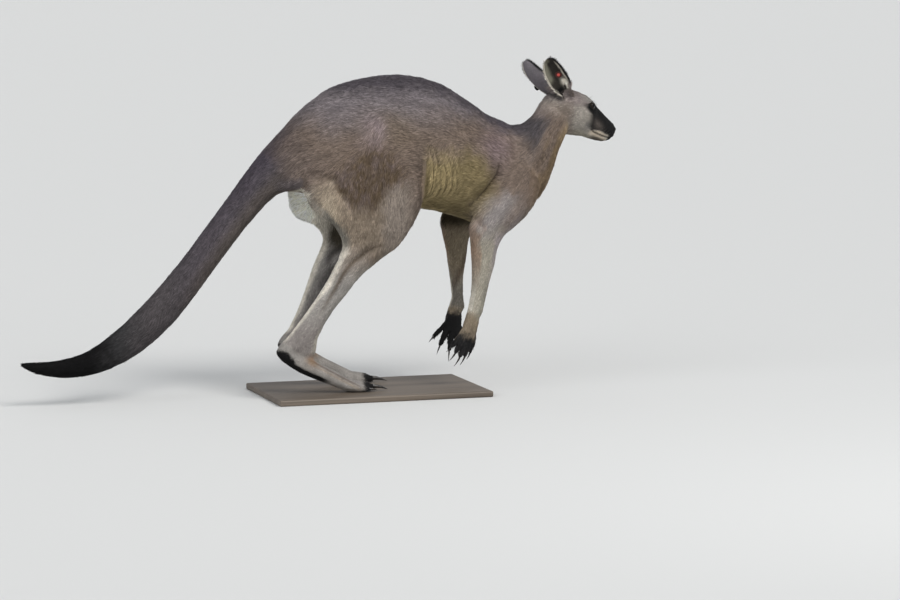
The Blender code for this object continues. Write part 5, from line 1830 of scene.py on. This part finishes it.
class KANGAROO_OT_nose(Operator):
    """Make the bare black nose pad with its nostrils"""

    bl_idname = "kangaroo.nose"
    bl_label = "Nose"

    def execute(self, context):
        directions, faces = grid_ball(64, 80)
        d = directions[:, (2, 0, 1)]  # the pole looks ahead
        head = d * NOSE_RADII
        head[:, 1] *= 1.0 + 0.16 * d[:, 2]  # broader above than below
        head[:, 0] -= 0.0012 * np.exp(-((d[:, 1] / 0.1) ** 2)) * (d[:, 0] > 0)  # groove down the middle
        for side in SIDES.values():
            a = (d[:, 1] * side - 0.46) / 0.17
            b = (d[:, 2] + 0.08 - 0.35 * (d[:, 1] * side - 0.46)) / 0.3
            pit = np.exp(-(a * a + b * b) ** 2) * (d[:, 0] > 0.0)
            wing = np.exp(-(((a - 1.7) / 0.9) ** 2) - (b / 1.4) ** 2) * (d[:, 0] > -0.3)
            head -= d * (0.0062 * pit)[:, None]
            head += d * (0.0011 * wing)[:, None]
        mesh = mesh_from_faces("nose_pad", from_head(head + NOSE_PLACE), faces)
        made, tree, shader = new_material("nose_leather", 0.5, 0.14)
        tone = noise_value(tree, 160.0)
        toned(tree, shader, tone, (0.0, (0.004, 0.004, 0.004)), (1.0, (0.012, 0.011, 0.011)))
        source = tree.nodes.new("ShaderNodeTexCoord")
        cells = tree.nodes.new("ShaderNodeTexVoronoi")
        cells.inputs["Scale"].default_value = 900.0
        tree.links.new(source.outputs["Object"], cells.inputs["Vector"])
        add_bump(tree, shader, cells.outputs["Distance"], 0.0005, 0.8)
        mesh.materials.append(made)
        piece = linked("nose_pad", mesh)
        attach(piece, "root")
        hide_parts("nose")
        return {"FINISHED"}


WHISKER_ROOTS = (  # along and up in the head's frame, length
    (0.2, -0.004, 0.026), (0.192, 0.001, 0.032), (0.184, 0.004, 0.036), (0.175, 0.006, 0.034),
    (0.196, -0.01, 0.03), (0.187, -0.006, 0.038), (0.178, -0.003, 0.042), (0.168, 0.0, 0.038),
    (0.19, -0.014, 0.028), (0.181, -0.013, 0.034), (0.171, -0.011, 0.036), (0.16, -0.008, 0.032),
    (0.196, -0.026, 0.016), (0.186, -0.029, 0.018), (0.086, 0.064, 0.022), (0.092, 0.066, 0.026),
    (0.08, 0.06, 0.02), (0.062, -0.006, 0.022), (0.066, -0.012, 0.024),
)
LASHES = 17  # along each upper lid
LASH_LENGTH = 0.0078
HAIR_STEPS = 7  # points along a whisker or lash
WHISKER_THICKNESS = 0.0003


def whisker_paths(skin):
    """Roots and ways of the whiskers and lashes in the head's frame, as (root, way, length)."""
    tree = BVHTree.FromObject(skin, bpy.context.evaluated_depsgraph_get())
    paths = []
    for side in SIDES.values():
        for x, z, length in WHISKER_ROOTS:
            start = HEAD @ Vector((x, 0.12 * side, z))
            hit, _, _, _ = tree.ray_cast(start, HEAD.to_3x3() @ Vector((0.0, -side, 0.0)))
            if hit is None:
                raise RuntimeError("no skin under a whisker")
            root = in_head(np.array([hit]))[0]
            lift = 0.9 if z > 0.03 else -0.18
            paths.append((root, unit(np.array((-0.6 if x > 0.1 else -0.3, 0.75 * side, lift))), length))
        out, slit, up = eye_axes(side)
        centre = mirrored(EYE_PLACE, side)
        for turn in np.radians(np.linspace(22.0, 158.0, LASHES)):
            across = slit * math.cos(turn) * EYE_HALF_LENGTH * 1.04
            across = across + up * math.sin(turn) * EYE_HALF_HEIGHT * 1.1
            look = unit(across + out * math.sqrt(EYE_RADIUS**2 - across @ across))
            way = unit(out + 0.9 * up + 0.5 * slit * math.cos(turn))
            paths.append((centre + look * (EYE_RADIUS + 0.0004), way, LASH_LENGTH))
    return paths


def whisker_nodes(material):
    """Turns paths into fine tapering hairs."""
    tree = bpy.data.node_groups.new("fine_hairs", "GeometryNodeTree")
    _, thickness, sides, _ = (
        tree.interface.new_socket(name, in_out=way, socket_type="NodeSocket" + kind)
        for name, way, kind in (
            ("Geometry", "INPUT", "Geometry"),
            ("Thickness", "INPUT", "Float"),
            ("Sides", "INPUT", "Int"),
            ("Geometry", "OUTPUT", "Geometry"),
        )
    )
    made = {
        name: tree.nodes.new(kind)
        for name, kind in (
            ("enter", "NodeGroupInput"),
            ("curve", "GeometryNodeMeshToCurve"),
            ("taper", "GeometryNodeInputNamedAttribute"),
            ("thick", "ShaderNodeMath"),
            ("radius", "GeometryNodeSetCurveRadius"),
            ("round", "GeometryNodeCurvePrimitiveCircle"),
            ("mesh", "GeometryNodeCurveToMesh"),
            ("real", "GeometryNodeRealizeInstances"),
            ("paint", "GeometryNodeSetMaterial"),
            ("leave", "NodeGroupOutput"),
        )
    }
    made["taper"].inputs["Name"].default_value = "taper"
    made["thick"].operation = "MULTIPLY"
    made["round"].inputs["Radius"].default_value = 1.0
    made["mesh"].inputs["Fill Caps"].default_value = True
    made["paint"].inputs["Material"].default_value = material
    for start, output, end, entry in (
        ("enter", "Geometry", "curve", "Mesh"),
        ("taper", "Attribute", "thick", 0),
        ("enter", "Thickness", "thick", 1),
        ("curve", "Curve", "radius", "Curve"),
        ("thick", "Value", "radius", "Radius"),
        ("enter", "Sides", "round", "Resolution"),
        ("radius", "Curve", "mesh", "Curve"),
        ("round", "Curve", "mesh", "Profile Curve"),
        ("thick", "Value", "mesh", "Scale"),
        ("mesh", "Mesh", "real", "Geometry"),
        ("real", "Geometry", "paint", "Geometry"),
        ("paint", "Geometry", "leave", "Geometry"),
    ):
        tree.links.new(made[start].outputs[output], made[end].inputs[entry])
    return tree, thickness.identifier, sides.identifier


class KANGAROO_OT_whiskers(Operator):
    """Set the whiskers along the lips, brows and cheeks, and the lashes along the upper lids"""

    bl_idname = "kangaroo.whiskers"
    bl_label = "Whiskers and lashes"

    def execute(self, context):
        share = np.linspace(0.0, 1.0, HAIR_STEPS)
        points, edges = [], []
        for root, way, length in whisker_paths(bpy.data.objects["skin"]):
            first = len(points)
            droop = np.array((0.0, 0.0, -0.22 if length > LASH_LENGTH else 0.35))
            points.extend(root - way * 0.001 + way * length * t + droop * length * t * t for t in share)
            edges.extend((first + i, first + i + 1) for i in range(HAIR_STEPS - 1))
        mesh = bpy.data.meshes.new("whiskers")
        mesh.from_pydata(from_head(np.array(points)).tolist(), edges, [])
        taper = mesh.attributes.new("taper", "FLOAT", "POINT")
        narrowing = np.tile(1.0 - 0.88 * share, len(points) // HAIR_STEPS)
        taper.data.foreach_set("value", narrowing.astype(np.float32))
        piece = linked("whiskers", mesh)
        made, tree, shader = new_material("whisker_hair", 0.45, 0.3)
        tone = noise_value(tree, 300.0)
        toned(tree, shader, tone, (0.0, (0.006, 0.006, 0.006)), (1.0, (0.035, 0.031, 0.028)))
        nodes, thickness, sides = whisker_nodes(made)
        hairs = piece.modifiers.new("fine hairs", "NODES")
        hairs.node_group = nodes
        hairs[thickness] = WHISKER_THICKNESS
        hairs[sides] = 5
        solid = bpy.data.meshes.new_from_object(piece.evaluated_get(context.evaluated_depsgraph_get()))
        piece.modifiers.clear()
        piece.data = solid
        if not solid.polygons:
            raise RuntimeError("the whiskers came out empty")
        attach(piece, "root")
        return {"FINISHED"}


class KANGAROO_OT_claws(Operator):
    """Round off every claw and give it dark horn that shows wear"""

    bl_idname = "kangaroo.claws"
    bl_label = "Claws"

    def execute(self, context):
        made, tree, shader = new_material("horn", 0.34, 0.5)
        tone = noise_value(tree, 90.0, 4.0)
        toned(tree, shader, tone, (0.35, (0.007, 0.006, 0.006)), (0.75, (0.06, 0.05, 0.042)))
        add_bump(tree, shader, noise_value(tree, 500.0, 3.0), 0.0003)
        for node in sorted(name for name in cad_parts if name.startswith("claw_")):
            mesh = bmesh.new()
            mesh.from_mesh(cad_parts[node].data)
            bmesh.ops.remove_doubles(mesh, verts=mesh.verts, dist=2e-5)
            bmesh.ops.join_triangles(
                mesh,
                faces=mesh.faces,
                angle_face_threshold=math.radians(40),
                angle_shape_threshold=math.radians(60),
            )
            data = stored(mesh, bpy.data.meshes.new(node.replace("claw", "horn")))
            data.materials.clear()
            data.materials.append(made)
            data.polygons.foreach_set("use_smooth", np.ones(len(data.polygons), bool))
            piece = rounded(linked(node.replace("claw", "horn"), data), 2)
            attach(piece, "root")
            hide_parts(node)
        return {"FINISHED"}


def plastic(name, low, high, roughness=0.42, specular=0.4):
    """Slightly uneven matt plastic between two colours."""
    made, tree, shader = new_material(name, roughness, specular)
    toned(tree, shader, noise_value(tree, 180.0), (0.0, low), (1.0, high))
    add_bump(tree, shader, noise_value(tree, 700.0), 0.0002)
    return made


class KANGAROO_OT_tags(Operator):
    """Make the two round button tags in the ears"""

    bl_idname = "kangaroo.tags"
    bl_label = "Ear tags"

    def execute(self, context):
        plates = {
            "right": plastic("deep_red_plastic", (0.03, 0.007, 0.006), (0.085, 0.014, 0.011)),
            "left": plastic("dark_plastic", (0.0025, 0.0025, 0.003), (0.007, 0.007, 0.008), 0.65, 0.08),
        }
        red = plastic("red_plastic", (0.5, 0.055, 0.045), (0.72, 0.12, 0.095))
        for word, thickness in (("right", 1.0), ("left", 2.6)):
            u, v, face, radius = TAGS[word]
            centre = ear_point(word, u, v)
            across = ear_point(word, u, v + 0.05) - ear_point(word, u, v - 0.05)
            _, along, opening, _ = ear_axes(word)
            axis = unit(np.cross(across, along))
            axis = axis * np.sign(axis @ opening) * face
            side = unit(np.cross(axis, along))
            axes = (side, np.cross(axis, side), axis)
            r = radius
            back = [(-0.005, 0.0), (-0.005, 0.55 * r), (-0.0044, 0.66 * r), (-0.0032, 0.68 * r)]
            stem = [(-0.0028, 0.62 * r), (-0.0028, 0.0022), (0.0026, 0.0022), (0.0026, 0.94 * r)]
            front = ((0.0005, 1.0), (0.0014, 1.0), (0.002, 0.93), (0.0018, 0.8), (0.0016, 0.0))
            plate = back + stem + [(0.0026 + rise * thickness, share * r) for rise, share in front]
            piece = lathe(f"tag_plate_{word}", plate, 48, centre, axes)
            piece.data.materials.append(plates[word])
            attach(piece, "root")
            if word == "left":
                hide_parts("ear_tag_left")
                continue
            dome = ((0.0043, 0.47), (0.0054, 0.45), (0.006, 0.37), (0.0062, 0.22), (0.0056, 0.17))
            button = [(rise, share * r) for rise, share in ((0.0043, 0.0), *dome, (0.0056, 0.0))]
            cap = lathe("tag_button_right", button, 48, centre, axes)
            cap.data.materials.append(red)
            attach(cap, "root")
            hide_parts("ear_tag_right")
        return {"FINISHED"}


class KANGAROO_OT_base(Operator):
    """Finish the flat display base in dark stained wood"""

    bl_idname = "kangaroo.base"
    bl_label = "Base"

    def execute(self, context):
        made, tree, shader = new_material("stained_wood", 0.5, 0.4)
        rings = noise_value(tree, 5.0, 3.0, stretch=(0.35, 3.2, 3.2))
        grain = noise_value(tree, 60.0, 5.0, stretch=(0.06, 2.0, 2.0))
        both = tree.nodes.new("ShaderNodeMath")
        both.operation = "MULTIPLY_ADD"
        both.inputs[1].default_value = 0.55
        tree.links.new(grain, both.inputs[0])
        tree.links.new(ranged(tree, rings, -0.15, 0.65), both.inputs[2])
        tone = both.outputs["Value"]
        toned(tree, shader, tone, (0.25, (0.062, 0.048, 0.036)), (0.8, (0.175, 0.14, 0.108)))
        tree.links.new(ranged(tree, grain, 0.42, 0.62), shader.inputs["Roughness"])
        add_bump(tree, shader, tone, 0.0006, 0.6)
        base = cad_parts["stand_base"]
        base.data.materials.clear()
        base.data.materials.append(made)
        return {"FINISHED"}


CAMERA_PLACE = Vector((-2.8185, -9.658, 1.4366))  # from the ball of the right foot
CAMERA_PITCH = 6.642  # degrees below level
CAMERA_YAW = -18.0
CAMERA_LENS = 135.0
CAMERA_SENSOR = 36.0


class KANGAROO_OT_stage(Operator):
    """Lay the plain floor, hang the soft lights and set the camera"""

    bl_idname = "kangaroo.stage"
    bl_label = "Stage"

    def execute(self, context):
        settings = context.scene.kangaroo_stage
        half = settings.floor_size / 2
        corners = [(-half, -half, 0.0), (half, -half, 0.0), (half, half, 0.0), (-half, half, 0.0)]
        floor = linked("floor", mesh_from_faces("floor", np.array(corners), [(0, 1, 2, 3)]))
        made, _, shader = new_material("plain_floor", 0.75, 0.2)
        shader.inputs["Base Color"].default_value = (*settings.floor, 1.0)
        floor.data.materials.append(made)
        floor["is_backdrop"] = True

        world = bpy.data.worlds.new("soft_room")
        world.use_nodes = True
        sky = world.node_tree.nodes["Background"].inputs
        sky["Color"].default_value = (0.93, 0.96, 1.0, 1.0)
        sky["Strength"].default_value = 0.55
        context.scene.world = world

        target = STANCE + Vector((0.1, 0.0, 0.55))
        key = settings.key_power
        for name, place, size, power, tint in (
            ("key", (2.2, -3.4, 4.6), 28.0, key, (1.0, 0.985, 0.96)),
            ("fill", (-3.6, -2.4, 2.6), 50.0, key * 0.68, (0.96, 0.98, 1.0)),
            ("window", (1.6, -3.0, 1.9), 0.9, 14.0, (1.0, 1.0, 1.0)),
        ):
            light = bpy.data.lights.new(name, "AREA" if name == "window" else "SUN")
            if light.type == "SUN":
                light.angle = math.radians(size)
            else:
                light.shape, light.size = "DISK", size
            light.energy = power
            light.color = tint
            lamp = linked(name, light)
            lamp.location = place
            lamp.rotation_euler = (target - Vector(place)).to_track_quat("-Z", "Y").to_euler()

        lens = bpy.data.cameras.new("camera")
        lens.lens = CAMERA_LENS
        lens.sensor_width = CAMERA_SENSOR
        lens.clip_end = 100.0
        camera = linked("camera", lens)
        camera.location = STANCE + CAMERA_PLACE
        camera.rotation_euler = (math.radians(90.0 - CAMERA_PITCH), 0.0, math.radians(CAMERA_YAW))
        context.scene.camera = camera
        context.scene.view_settings.view_transform = "Standard"
        return {"FINISHED"}


class KANGAROO_PT_panel(Panel):
    """Lists the model's parts and settings in the sidebar"""

    bl_label = "Kangaroo"
    bl_idname = "KANGAROO_PT_panel"
    bl_space_type = "VIEW_3D"
    bl_region_type = "UI"
    bl_category = "Kangaroo"

    def draw(self, context):
        for group in ("kangaroo_skin", "kangaroo_coat", "kangaroo_stage"):
            settings = getattr(context.scene, group)
            box = self.layout.box()
            for name in settings.__annotations__:
                box.prop(settings, name)
        for operator in OPERATORS:
            self.layout.operator(operator.bl_idname)


OPERATORS = (
    KANGAROO_OT_skin,
    KANGAROO_OT_coat,
    KANGAROO_OT_eyes,
    KANGAROO_OT_nose,
    KANGAROO_OT_whiskers,
    KANGAROO_OT_claws,
    KANGAROO_OT_tags,
    KANGAROO_OT_base,
    KANGAROO_OT_stage,
)
SETTINGS = {
    "kangaroo_skin": KangarooSkinSettings,
    "kangaroo_coat": KangarooCoatSettings,
    "kangaroo_stage": KangarooStageSettings,
}


def register():
    for group in SETTINGS.values():
        bpy.utils.register_class(group)
    for name, group in SETTINGS.items():
        setattr(bpy.types.Scene, name, PointerProperty(type=group))
    for operator in OPERATORS:
        bpy.utils.register_class(operator)
    bpy.utils.register_class(KANGAROO_PT_panel)


def unregister():
    bpy.utils.unregister_class(KANGAROO_PT_panel)
    for operator in reversed(OPERATORS):
        bpy.utils.unregister_class(operator)
    for name, group in SETTINGS.items():
        delattr(bpy.types.Scene, name)
        bpy.utils.unregister_class(group)


def main():
    register()
    bpy.ops.kangaroo.skin()
    bpy.ops.kangaroo.coat()
    bpy.ops.kangaroo.eyes()
    bpy.ops.kangaroo.nose()
    bpy.ops.kangaroo.whiskers()
    bpy.ops.kangaroo.claws()
    bpy.ops.kangaroo.tags()
    bpy.ops.kangaroo.base()
    bpy.ops.kangaroo.stage()
    boxes = {"cad": CAD_BOX, "visual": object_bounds()}
    {name: [list(corner) for corner in box] for name, box in boxes.items()}


if __name__ == "__main__":
    main()
